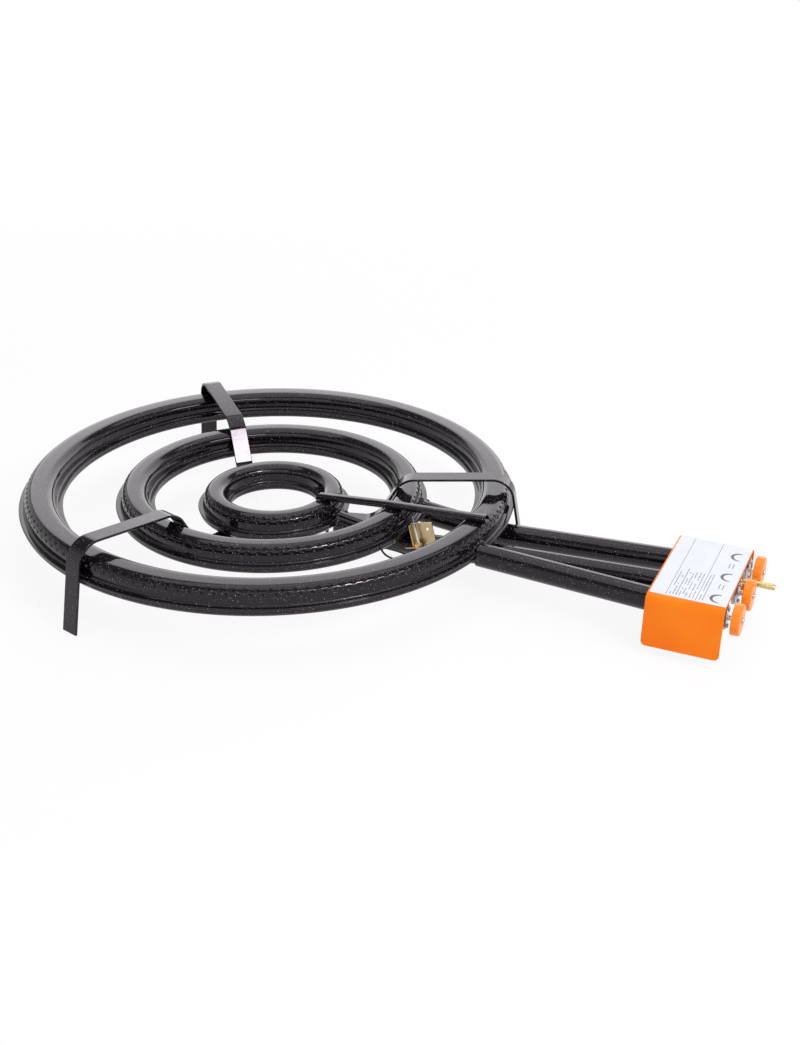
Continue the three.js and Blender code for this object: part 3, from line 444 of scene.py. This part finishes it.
def ring_cover(name, ring):
    """Pressed cover with two staggered rows of punched flame ports round its outer shoulder"""
    outside = ring["radius"] - OUTER_INSET
    inside = ring["radius"] - ring["width"] + ring["inner_inset"]
    bottom = ring["bottom"]
    top = bottom + RING_HEIGHT
    outer_centre = (outside - CROWN, top - CROWN)
    inner_centre = (inside + CROWN, top - CROWN)
    lip_out = ring["radius"] - LIP_INSET
    lip_in = ring["radius"] - ring["width"] + LIP_INSET
    corners = [
        (lip_out, bottom + 11.2),
        (lip_out, bottom + 12.5),
        (outside + 2.0, bottom + 12.6),
        (outside + 0.3, bottom + 13.6),
        (outside, bottom + 16),
        (outside, bottom + 20.5),
        *(on_crown(outer_centre, CROWN_DRAWN, a) for a in (3, 31, 59, 78)),
        (outer_centre[0] - 0.5, top),
        (inner_centre[0] + 0.5, top),
        *(on_crown(inner_centre, CROWN_DRAWN, a) for a in (102, 124, 146, 168)),
        (inside, bottom + 20.5),
        (inside, bottom + 16),
        (inside - 0.3, bottom + 13.6),
        (inside - 1.6, bottom + 12.6),
        (lip_in, bottom + 12.5),
        (lip_in, bottom + 11.2),
    ]
    steps = 2 * ring["ports"]
    bm = bmesh.new()
    turn(bm, outline(bm, [(r, z, 0) for r, z in corners], (X, Z)), Z, steps)
    bmesh.ops.recalc_face_normals(bm, faces=bm.faces)
    ports = []
    for face in bm.faces:
        centre = face.calc_center_median()
        radius = math.hypot(centre.x, centre.y)
        lift = math.degrees(math.atan2(centre.z - outer_centre[1], radius - outer_centre[0]))
        step = math.floor(math.atan2(centre.y, centre.x) / (2 * math.pi) * steps) % 2
        low, high = PORT_ROWS[step]
        if radius > outer_centre[0] and low < lift < high and centre.z > bottom + 20:
            ports.append(face)
    width, depth = PORT_DISH
    bmesh.ops.inset_individual(bm, faces=ports, thickness=width, depth=depth)
    for face in ports:
        centre = face.calc_center_median()
        heading = math.atan2(centre.y, centre.x)
        space = Matrix.Rotation(-heading, 4, "Z") @ Matrix.Translation(-centre)
        bmesh.ops.scale(bm, vec=(1, PORT_SQUASH, 1), space=space, verts=face.verts)
    for width, depth in (PORT_WALL, PORT_INSIDE):
        bmesh.ops.inset_individual(bm, faces=ports, thickness=width, depth=depth)
    # Each port's floor takes the painted shade that stands in for the dark hole
    for face in ports:
        face.material_index = 1
    piece = make(
        f"{name}_ring_cover_enamelled",
        bm,
        [ENAMEL, PORT_SHADE],
        [f"{name}_ring_cover"],
        sharp=180,
    )
    smooth = piece.modifiers.new("pressed curves", "SUBSURF")
    smooth.levels = smooth.render_levels = 1


for ring_name, ring in RINGS.items():
    ring_channel(ring_name, ring)
    ring_cover(ring_name, ring)

# Supports: flat bar, bent three times round the rings. The line is the middle of its thickness.

BAR_WIDTH, BAR_THICKNESS, BAR_BEND, BAR_EDGE = 22, 3, 25, 0.9
SUPPORT_LINE = [(313.15, 0.25), (295.326, 104.5), (161.89, 94.09), (126.74, 33.2), (70, 33.2)]
# Degrees round the rings from the valve cover's side
SUPPORTS = {"right": 16, "rear": 136, "left": 253}


def bend_strip(corners, width, bend_radius, segments):
    """Strip along a line of (x, z) corners, centred on Y = 0, with each fold bent to the radius"""
    bm = bmesh.new()
    line = [bm.verts.new((x, -width / 2, z)) for x, z in corners]
    runs = [bm.edges.new(pair) for pair in zip(line, line[1:])]
    grown = bmesh.ops.extrude_edge_only(bm, edges=runs)["geom"]
    bmesh.ops.translate(bm, vec=(0, width, 0), verts=verts_of(grown))
    for i in range(1, len(corners) - 1):
        before = Vector(corners[i]) - Vector(corners[i - 1])
        after = Vector(corners[i + 1]) - Vector(corners[i])
        setback = bend_radius * math.tan(before.angle(after) / 2)
        fold = [
            e
            for e in bm.edges
            if all(math.dist((v.co.x, v.co.z), corners[i]) < SAME_PLACE for v in e.verts)
        ]
        round_off(bm, fold, "EDGES", setback, segments)
    return bm


for support_name, azimuth in SUPPORTS.items():
    strip = bend_strip(SUPPORT_LINE, BAR_WIDTH, BAR_BEND, 16)
    turned = Matrix.Rotation(math.radians(azimuth), 4, "Z")
    bmesh.ops.transform(strip, matrix=turned, verts=strip.verts)
    bar = make(
        f"support_{support_name}_bar",
        strip,
        [ENAMEL],
        [f"support_{support_name}"],
        sharp=60,
    )
    give_thickness(bar, BAR_THICKNESS)
    round_edges(bar, BAR_EDGE, 4, 50)

# Feed tubes and their welds

TUBE_RADIUS, TUBE_BEND, TUBE_WALL = 14.25, 70, 1.5
MOUTH_DEPTH = 30
# Corners of each tube's middle line, from the ring's wall to the mouth in the carrier
ROUTES = {
    "outer": [(291.9, -43, 58.8), (548, -58.5, 55.4)],
    "middle": [(176.87, 55, 47.2), (269, 58, 35.55), (498.75, 58.5, 48.4), (548, 58.5, 55.4)],
    "inner": [
        (88, 0, 38.4),
        (140, 0, 30.6),
        (190, 0, 30.6),
        (300, 0, 38.55),
        (498.75, 0, 48.4),
        (548, 0, 55.4),
    ],
}


def bent_tube(route, radius, bend_radius, sides):
    """Tube drawn along straight runs and bent between them: mesh, last rim and its heading"""
    points = [Vector(p) for p in route]
    heading = (points[1] - points[0]).normalized()
    bm = bmesh.new()
    seat = Matrix.Translation(points[0]) @ heading.to_track_quat("Z", "Y").to_matrix().to_4x4()
    bmesh.ops.create_circle(bm, cap_ends=True, segments=sides, radius=radius, matrix=seat)
    rim = bm.edges[:]
    at = points[0]
    for i in range(1, len(points)):
        setback = 0
        if i < len(points) - 1:
            ahead = (points[i + 1] - points[i]).normalized()
            angle = heading.angle(ahead)
            setback = bend_radius * math.tan(angle / 2)
        run = points[i] - heading * setback - at
        grown = bmesh.ops.extrude_edge_only(bm, edges=rim)["geom"]
        bmesh.ops.translate(bm, vec=run, verts=verts_of(grown))
        rim = edges_of(grown)
        if setback:
            bend_axis = heading.cross(ahead).normalized()
            centre = points[i] - heading * setback + bend_axis.cross(heading) * bend_radius
            bent = bmesh.ops.spin(
                bm, geom=rim, cent=centre, axis=bend_axis, angle=angle, steps=6
            )
            rim = edges_of(bent["geom_last"])
            at = points[i] + ahead * setback
            heading = ahead
    return bm, rim, heading


for ring_name, route in ROUTES.items():
    bm, rim, heading = bent_tube(route, TUBE_RADIUS, TUBE_BEND, 40)
    mouth = bmesh.ops.contextual_create(bm, geom=rim)["faces"]
    bmesh.ops.inset_individual(bm, faces=mouth, thickness=TUBE_WALL, depth=0)
    bore = bmesh.ops.extrude_discrete_faces(bm, faces=mouth)["faces"]
    end_of_bore = list({v for f in bore for v in f.verts})
    bmesh.ops.translate(bm, vec=heading * -MOUTH_DEPTH, verts=end_of_bore)
    make(
        f"{ring_name}_feed_tube_enamelled",
        bm,
        [ENAMEL],
        [f"{ring_name}_feed_tube"],
        sharp=45,
    )


def wall_radius(ring, height):
    """Radius of a ring's outer wall at a height: cover, rim or the channel's soft corner"""
    rim_top, rim_foot, corner = 13, 6, 14
    lift = height - ring["bottom"]
    if lift > rim_top:
        return ring["radius"] - OUTER_INSET
    if lift > rim_foot:
        return ring["radius"]
    return ring["radius"] - corner * (1 - max(lift, 0) / rim_foot) ** 1.6


def weld_bead(ring_name, count=12, first=-35, last=215, stand_off=0.6):
    """Overlapping runs of weld round a tube, between two angles, where it meets its ring"""
    ring = RINGS[ring_name]
    start = Vector(ROUTES[ring_name][0])
    chance = random.Random(len(ring_name))
    bm = bmesh.new()
    for i in range(count):
        angle = math.radians(first + (last - first) * i / (count - 1))
        y = start.y + (TUBE_RADIUS + stand_off) * math.cos(angle)
        z = start.z + (TUBE_RADIUS + stand_off) * math.sin(angle)
        x = math.sqrt(wall_radius(ring, z) ** 2 - y**2) + 0.4
        # Each run is a lump of its own size, a little in or out
        drop = Matrix.Translation((x + chance.uniform(-0.6, 0.8), y, z))
        shape = Matrix.Diagonal(
            (chance.uniform(3.0, 4.0), chance.uniform(2.4, 3.2), chance.uniform(2.4, 3.2), 1)
        )
        bmesh.ops.create_icosphere(bm, subdivisions=2, radius=1, matrix=drop @ shape)
    bead = make(f"{ring_name}_weld", bm, [ENAMEL], sharp=180)
    fuse = bead.modifiers.new("fused", "REMESH")
    fuse.mode = "VOXEL"
    fuse.voxel_size = 0.6 * MM
    fuse.use_smooth_shade = True
    melt = bead.modifiers.new("melted", "SMOOTH")
    melt.factor = 0.5
    melt.iterations = 4


for ring_name in RINGS:
    weld_bead(ring_name)


def rounded_copy(node_name, name, material, width_mm, sharp=35):
    """Copy of a CAD solid with its flat faces joined up and its edges rounded"""
    bm = bmesh.new()
    bm.from_mesh(frame["nodes"][node_name].data)
    bmesh.ops.remove_doubles(bm, verts=bm.verts, dist=SAME_PLACE_M)
    bmesh.ops.dissolve_limit(
        bm, angle_limit=math.radians(2), verts=bm.verts, edges=bm.edges
    )
    for face in bm.faces:
        face.material_index = 0
    piece = make(name, bm, [material], [node_name], sharp=sharp, placed=True)
    round_edges(piece, width_mm, 2, 30)


# Flame bridge: a rounded channel from the inner ring's top to the outer ring's

BRIDGE_LINE = [(62, 67.84), (162.4, 78.9), (291, 89.33)]
BRIDGE_HALF, BRIDGE_HEIGHT, BRIDGE_SHEET, BRIDGE_FOLD = 6, 7, 1.2, 3.8
BRIDGE_END_SLOPE = 3
BRIDGE_TURN = math.radians(-2.8)
BRIDGE_OFFSET = -1


def flame_bridge():
    """Strip folded to a channel with a rounded back, kinked on the middle ring, its ends sloped"""
    inside, under = BRIDGE_HALF - BRIDGE_SHEET, BRIDGE_HEIGHT - BRIDGE_SHEET
    section = [
        (-BRIDGE_HALF, 0),
        (-BRIDGE_HALF, BRIDGE_HEIGHT, BRIDGE_FOLD),
        (BRIDGE_HALF, BRIDGE_HEIGHT, BRIDGE_FOLD),
        (BRIDGE_HALF, 0),
        (inside, 0),
        (inside, under, BRIDGE_FOLD - BRIDGE_SHEET),
        (-inside, under, BRIDGE_FOLD - BRIDGE_SHEET),
        (-inside, 0),
    ]
    bm = bmesh.new()
    rim = edges_of(outline(bm, section, (Y, Z)))
    start = Vector((BRIDGE_LINE[0][0], 0, BRIDGE_LINE[0][1]))
    bmesh.ops.translate(bm, vec=start, verts=bm.verts)
    ends = [rim]
    for (x0, z0), (x1, z1) in zip(BRIDGE_LINE, BRIDGE_LINE[1:]):
        grown = bmesh.ops.extrude_edge_only(bm, edges=rim)["geom"]
        bmesh.ops.translate(bm, vec=(x1 - x0, 0, z1 - z0), verts=verts_of(grown))
        rim = edges_of(grown)
    ends.append(rim)
    for edges, (x, z), way in zip(ends, (BRIDGE_LINE[0], BRIDGE_LINE[-1]), (1, -1)):
        for vert in {v for e in edges for v in e.verts}:
            vert.co.x += way * BRIDGE_END_SLOPE * (vert.co.z - z) / BRIDGE_HEIGHT
        bmesh.ops.contextual_create(bm, geom=edges)
    bmesh.ops.rotate(bm, matrix=Matrix.Rotation(BRIDGE_TURN, 3, "Z"), verts=bm.verts)
    bmesh.ops.translate(bm, vec=(0, BRIDGE_OFFSET, 0), verts=bm.verts)
    bridge = make("flame_bridge_folded", bm, [ENAMEL], ["flame_bridge"], sharp=50)
    round_edges(bridge, 0.3, 2, 50)


flame_bridge()

# Valve cover and its label

COVER_BACK, COVER_FRONT = 503, 593
COVER_BOTTOM, COVER_RIDGE = 12.4, 73.65
COVER_HALF_BOTTOM, COVER_HALF_TOP = 85.25, 80.25
COVER_SHEET, COVER_BEND, COVER_CORNER = 1.5, 7.5, 6


def valve_cover():
    """Sheet folded over the taps, its lower corners cut round"""
    corners = [
        (COVER_HALF_BOTTOM, COVER_BOTTOM),
        (COVER_HALF_TOP, COVER_RIDGE),
        (-COVER_HALF_TOP, COVER_RIDGE),
        (-COVER_HALF_BOTTOM, COVER_BOTTOM),
    ]
    bm = bend_strip(corners, COVER_FRONT - COVER_BACK, COVER_BEND, 12)
    lower = [v for v in bm.verts if abs(v.co.z - COVER_BOTTOM) < SAME_PLACE]
    round_off(bm, lower, "VERTICES", COVER_CORNER, 8)
    middle = Matrix.Translation(((COVER_BACK + COVER_FRONT) / 2, 0, 0))
    turned = middle @ Matrix.Rotation(math.radians(90), 4, "Z")
    bmesh.ops.transform(bm, matrix=turned, verts=bm.verts)
    cover = make(
        "valve_cover_painted", bm, [POWDER], ["valve_cover"], sharp=60
    )
    give_thickness(cover, COVER_SHEET)
    round_edges(cover, 0.4, 2, 50)


def plate(bm, low, high, rounding=0):
    """Flat block between two corners, its upright edges rounded"""
    size = Vector(high) - Vector(low)
    middle = (Vector(high) + Vector(low)) / 2
    before = set(bm.verts)
    bmesh.ops.create_cube(
        bm, size=1, matrix=Matrix.Translation(middle) @ Matrix.Diagonal((*size, 1))
    )
    if rounding:
        made = [v for v in bm.verts if v not in before]
        upright = [
            e
            for e in bm.edges
            if e.verts[0] in made and abs((e.verts[0].co - e.verts[1].co).normalized().z) > 0.9
        ]
        round_off(bm, upright, "EDGES", rounding, 4)


LABEL_BACK, LABEL_FRONT = COVER_BACK + 2, COVER_FRONT - 1
LABEL_NEAR, LABEL_FAR = -73, 75
LABEL_BOTTOM, LABEL_TOP = 74.5, 74.8
INK_THICKNESS, DIAL_INK_THICKNESS = 0.05, 0.06

DIALS = [(581, 48), (580.5, -5), (580, -58)]
DIAL_RADIUS, DIAL_HOLE_RADIUS, DIAL_HOLE_SHIFT = 9.7, 7.9, (1.7, -0.2)
DIAL_OPEN_FROM = 2.6

RULES = [523, 557]
DASH_ROWS = [527, 530.5, 534, 537.5, 541, 544.5, 549, 553, 560.5, 564]
DASH_FROM, DASH_TO, DASH_GAP = -68.0, -8, 1.2
SHORT_ROWS = [575, 579.5]
SHORT_STARTS, SHORT_LENGTH = [17, -36], 12


def label():
    bm = bmesh.new()
    low, high = (LABEL_BACK, LABEL_NEAR, LABEL_BOTTOM), (LABEL_FRONT, LABEL_FAR, LABEL_TOP)
    plate(bm, low, high, 1.2)
    make("label_film_plate", bm, [FILM], ["label_plate"])


def dial_mark(bm, x, y):
    """Crescent that thins round a knob's turn, from full flame to low"""
    shift_x, shift_y = DIAL_HOLE_SHIFT
    rims = []
    for centre, radius in (
        ((x, y), DIAL_RADIUS),
        ((x + shift_x, y + shift_y), DIAL_HOLE_RADIUS),
    ):
        before = set(bm.edges)
        seat = Matrix.Translation((*centre, LABEL_TOP))
        bmesh.ops.create_circle(bm, segments=40, radius=radius, matrix=seat)
        rims += [e for e in bm.edges if e not in before]
    flat = bmesh.ops.bridge_loops(bm, edges=rims)["faces"]
    # The open part of the dial faces the knob's side of the label
    away = [f for f in flat if f.calc_center_median().x > x + DIAL_OPEN_FROM]
    bmesh.ops.delete(bm, geom=away, context="FACES")
    kept = [f for f in flat if f.is_valid]
    raised = bmesh.ops.extrude_face_region(bm, geom=kept)["geom"]
    bmesh.ops.translate(bm, vec=(0, 0, DIAL_INK_THICKNESS), verts=verts_of(raised))


def printed_line(bm, x, y_from, y_to, half_width):
    """Line of ink across the label"""
    low = (x - half_width, y_from, LABEL_TOP)
    plate(bm, low, (x + half_width, y_to, LABEL_TOP + INK_THICKNESS))


def label_print():
    """Plain generic marks: two rules across, short dashes and a dial mark for each knob"""
    bm = bmesh.new()
    for x, y in DIALS:
        dial_mark(bm, x, y)
    make("label_dial_marks", bm, [INK])
    bm = bmesh.new()
    for x in RULES:
        printed_line(bm, x, LABEL_NEAR + 2, LABEL_FAR - 1, 0.3)
    chance = random.Random(5)
    for x in DASH_ROWS:
        y = DASH_FROM
        while y < DASH_TO:
            length = chance.uniform(2.0, 7.5)
            if chance.random() < 0.85:
                printed_line(bm, x, y, y + length, 0.5)
            y += length + DASH_GAP
    for y in SHORT_STARTS:
        for x in SHORT_ROWS:
            printed_line(bm, x, y, y + SHORT_LENGTH, 0.5)
    make("label_rules", bm, [PALE_INK])


valve_cover()
label()
label_print()

# Knobs and the turned pieces round them

TAPS = {"outer": -60, "inner": 0, "middle": 60}
TAP_HEIGHT = 55.4

# Half sections as (x, radius, rounding)
KNOB_PROFILE = [
    (599.5, 0),
    (599.5, 6.5, 0.5),
    (606.8, 6.5, 0.6),
    (606.8, 15.4, 0.8),
    (599.5, 15.6, 0.4),
    (599.5, 18.5, 0.9),
    (610, 18.2, 1.4),
    (610, 5.2, 0.6),
    (609.4, 4.6, 0.2),
    (609.4, 0),
]
SCREW_HEAD_PROFILE = [
    (609.5, 0),
    (609.5, 3.2, 0.2),
    (611.4, 3.2, 0.7),
    (612.5, 1.8, 0.6),
    (612.5, 0),
]
TAIL_PROFILE = [
    (574.5, 0),
    (574.5, 3.6),
    (580.7, 3.6),
    (580.7, 5.5, 0.5),
    (590.3, 5.5, 0.6),
    (590.3, 3.6, 0.3),
    (613.5, 3.6),
    (613.5, 4.3, 0.1),
    (617.4, 3.6),
    (617.5, 4.3, 0.1),
    (621.4, 3.6),
    (621.5, 4.3, 0.1),
    (625.4, 3.6),
    (625.5, 4.3, 0.1),
    (629.5, 3.4, 0.2),
    (629.5, 2.2, 0.2),
    (610, 2.0),
    (610, 0),
]


def turned_piece(name, corners, y, material, stands_for, body="burner", steps=48):
    """Piece turned about a line along X at the taps' height, from its half section"""
    bm = bmesh.new()
    centre = Vector((0, y, TAP_HEIGHT))
    geom = outline(bm, corners, (X, Z))
    bmesh.ops.translate(bm, vec=centre, verts=bm.verts)
    on_axis = [e for e in bm.edges if all(abs(v.co.z - TAP_HEIGHT) < 1e-6 for v in e.verts)]
    bmesh.ops.delete(bm, geom=on_axis, context="EDGES_FACES")
    turn(bm, bm.verts[:] + bm.edges[:], X, steps, centre)
    make(name, bm, [material], stands_for, body)


for ring_name, y in TAPS.items():
    control = f"{ring_name}_control"
    turned_piece(
        f"{ring_name}_knob_moulded",
        KNOB_PROFILE,
        y,
        PLASTIC,
        [f"{ring_name}_knob"],
        control,
        steps=72,
    )
    turned_piece(
        f"{ring_name}_knob_screw_head",
        SCREW_HEAD_PROFILE,
        y,
        ZINC,
        [f"{ring_name}_knob_screw"],
        control,
    )
    cap = f"{ring_name}_tap_cap"
    rounded_copy(cap, f"{cap}_plated", ZINC, 0.3)
    for end in ("upper", "lower"):
        screw = f"{ring_name}_cap_screw_{end}"
        rounded_copy(screw, f"{screw}_plated", ZINC, 0.25)

# Inlet for the gas hose

INLET_OFFSET = 30

turned_piece("inlet_tail_turned", TAIL_PROFILE, INLET_OFFSET, BRASS, ["inlet_fitting"])
rounded_copy("inlet_nut", "inlet_nut_turned", BRASS, 0.4)

# Flame sensor

rounded_copy("sensor_bracket", "sensor_bracket_plated", YELLOW_ZINC, 0.25)
rounded_copy("sensor_nut", "sensor_nut_plated", YELLOW_ZINC, 0.3)
rounded_copy("sensor_rod", "sensor_rod_sheath", SHEATH, 0.25, sharp=60)
rounded_copy("lead_nut", "lead_nut_turned", BRASS, 0.3)

LEAD_RADIUS = 1.2
LEAD_LINE = [
    (208.0, -22.1, 35.9),
    (208.8, -22.2, 32.5),
    (205, -23, 28),
    (192, -25, 28),
    (176, -29, 32),
    (167, -38, 37),
    (172, -51, 39),
    (188, -59, 38),
    (214, -55, 37),
    (250, -36, 42),
    (300, -22, 47),
    (510, -30, 55.4),
    (556.9, -30, 55.4),
]


def sensor_lead():
    """Stiff lead along its route from the rod, by a loop, to the nut behind the manifold"""
    curve = bpy.data.curves.new("sensor_lead_sleeved", "CURVE")
    curve.dimensions = "3D"
    curve.bevel_depth = LEAD_RADIUS * MM
    curve.bevel_resolution = 4
    curve.use_fill_caps = True
    spline = curve.splines.new("BEZIER")
    spline.resolution_u = 10
    spline.bezier_points.add(len(LEAD_LINE) - 1)
    for point, place in zip(spline.bezier_points, LEAD_LINE):
        point.co = TO_FRAME @ Vector(place)
        point.handle_left_type = point.handle_right_type = "AUTO"
    curve.materials.append(SLEEVE)
    lead = bpy.data.objects.new("sensor_lead_sleeved", curve)
    bpy.context.scene.collection.objects.link(lead)
    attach(lead, "burner")
    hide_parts("sensor_lead")


sensor_lead()

# Finishes of the CAD solids that stay as they are

KEPT = {
    # The carrier's dark grey is painted shade under the cover
    "valve_carrier": CARRIER_SHADED_STEEL,
    "gas_manifold": CAST,
    "manifold_plug": ZINC,
    "manifold_screw_near": ZINC,
    "manifold_screw_far": ZINC,
}
for ring_name in TAPS:
    KEPT[f"{ring_name}_injector"] = BRASS
    KEPT[f"{ring_name}_tap_body"] = CAST
    KEPT[f"{ring_name}_thrust_washer"] = ZINC
    KEPT[f"{ring_name}_spindle"] = ZINC
for node_name, material in KEPT.items():
    solid = frame["nodes"][node_name]
    solid.data.materials.clear()
    solid.data.materials.append(material)

# Floor, world and lamps, in metres from the middle of the part's box


def seen_directly(tree):
    """1 for what the camera sees itself, in a reflection or through glass, else 0"""
    path = add(tree, "ShaderNodeLightPath").outputs
    mirrored = combine(tree, "MAXIMUM", path["Is Glossy Ray"], path["Is Transmission Ray"])
    return combine(tree, "MAXIMUM", path["Is Camera Ray"], mirrored)


FLOOR_DROP, FLOOR_REACH = 0.0005, 20
# The floor's shadow shows up to the first distance and is gone at the second
SHADOW_TO, WHITE_FROM = 0.9, 1.8
NEAR_WHITENESS = 0.9


def floor():
    """White paper sweep: matt near the object, where a soft shadow stays, plain white beyond"""
    material, tree, shader, place = finish_named(
        "studio_floor", **{"Roughness": 0.8, "Specular IOR Level": 0.1}
    )
    vary_colour(tree, shader, grain(tree, place, 400), "#f8f8f8", "#fbfbfb")
    glow = add(tree, "ShaderNodeEmission", {"Color": (1, 1, 1, 1), "Strength": 1.0})
    away = add(tree, "ShaderNodeVectorMath", {0: place}, operation="LENGTH").outputs["Value"]
    whiteness = spread(tree, away, SHADOW_TO, WHITE_FROM, NEAR_WHITENESS, 1.0)
    share = spread(tree, seen_directly(tree), 0.0, 1.0, 0.0, whiteness)
    mix = add(
        tree, "ShaderNodeMixShader", {0: share, 1: shader.outputs[0], 2: glow.outputs[0]}
    )
    output = next(n for n in tree.nodes if n.bl_idname == "ShaderNodeOutputMaterial")
    tree.links.new(mix.outputs[0], output.inputs["Surface"])
    bm = bmesh.new()
    level = Matrix.Translation((0, 0, -FLOOR_DROP))
    bmesh.ops.create_grid(bm, x_segments=2, y_segments=2, size=FLOOR_REACH, matrix=level)
    mesh = bpy.data.meshes.new("studio_floor")
    bm.to_mesh(mesh)
    bm.free()
    mesh.materials.append(material)
    plane = bpy.data.objects.new("studio_floor", mesh)
    bpy.context.scene.collection.objects.link(plane)


def world():
    """White to the eye, darker overhead in reflections, and an even low light on the object"""
    scene_world = bpy.data.worlds.new("studio")
    bpy.context.scene.world = scene_world
    scene_world.use_nodes = True
    tree = scene_world.node_tree
    tree.nodes.clear()
    direction = add(tree, "ShaderNodeTexCoord").outputs["Generated"]
    height = add(tree, "ShaderNodeSeparateXYZ", {"Vector": direction}).outputs["Z"]
    # Up to 20 degrees above level the studio is white, and above 38 degrees it is a dim grey
    ceiling = spread(tree, height, 0.35, 0.62, 1.0, 0.25)
    to_camera = add(tree, "ShaderNodeLightPath").outputs["Is Camera Ray"]
    seen = combine(tree, "MAXIMUM", ceiling, to_camera)
    lighting = combine(tree, "SUBTRACT", 1.0, seen_directly(tree))
    shade = spread(tree, lighting, 0.0, 1.0, seen, 0.05)
    background = add(
        tree, "ShaderNodeBackground", {"Color": (1, 1, 1, 1), "Strength": shade}
    )
    output = add(tree, "ShaderNodeOutputWorld")
    tree.links.new(background.outputs[0], output.inputs["Surface"])


def softbox(name, middle, aim, width, height, radiance):
    """Area lamp of the given size in metres that faces a point"""
    lamp = bpy.data.lights.new(name, "AREA")
    lamp.shape = "RECTANGLE"
    lamp.size, lamp.size_y = width, height
    lamp.energy = radiance * math.pi * width * height
    box = bpy.data.objects.new(name, lamp)
    facing = (Vector(aim) - Vector(middle)).to_track_quat("-Z", "Y")
    box.matrix_world = Matrix.Translation(middle) @ facing.to_matrix().to_4x4()
    box.visible_camera = False
    bpy.context.scene.collection.objects.link(box)


NEAR_SHOULDERS = (-0.27, 0.1, 0.07)

floor()
world()
# Wide box behind the object: the grey of the ring tops
softbox("back_box", (-0.8, 3.2, 1.35), (0, 0, 0.05), 5.4, 2.3, 1.7)
# Dimmer box overhead: the soft sheen on the crowns and along the tubes
softbox("top_box", (-0.1, 0.4, 2.3), (-0.1, 0.4, 0), 2.6, 3.0, 1.5)
# Bright strip to the right of the camera: the white lines along the near shoulders
softbox("side_strip", (2.05, -1.05, 1.82), NEAR_SHOULDERS, 2.6, 0.3, 13.0)
# Small bright box in the strip's middle: the white slope of the rear support
softbox("side_key", (2.05, -1.05, 1.84), NEAR_SHOULDERS, 0.55, 0.5, 26.0)
# Large dim box over the camera: soft fill on the cover and the knobs
softbox("front_box", (0.6, -2.6, 1.9), (0.1, 0, 0.05), 2.4, 1.4, 1.0)
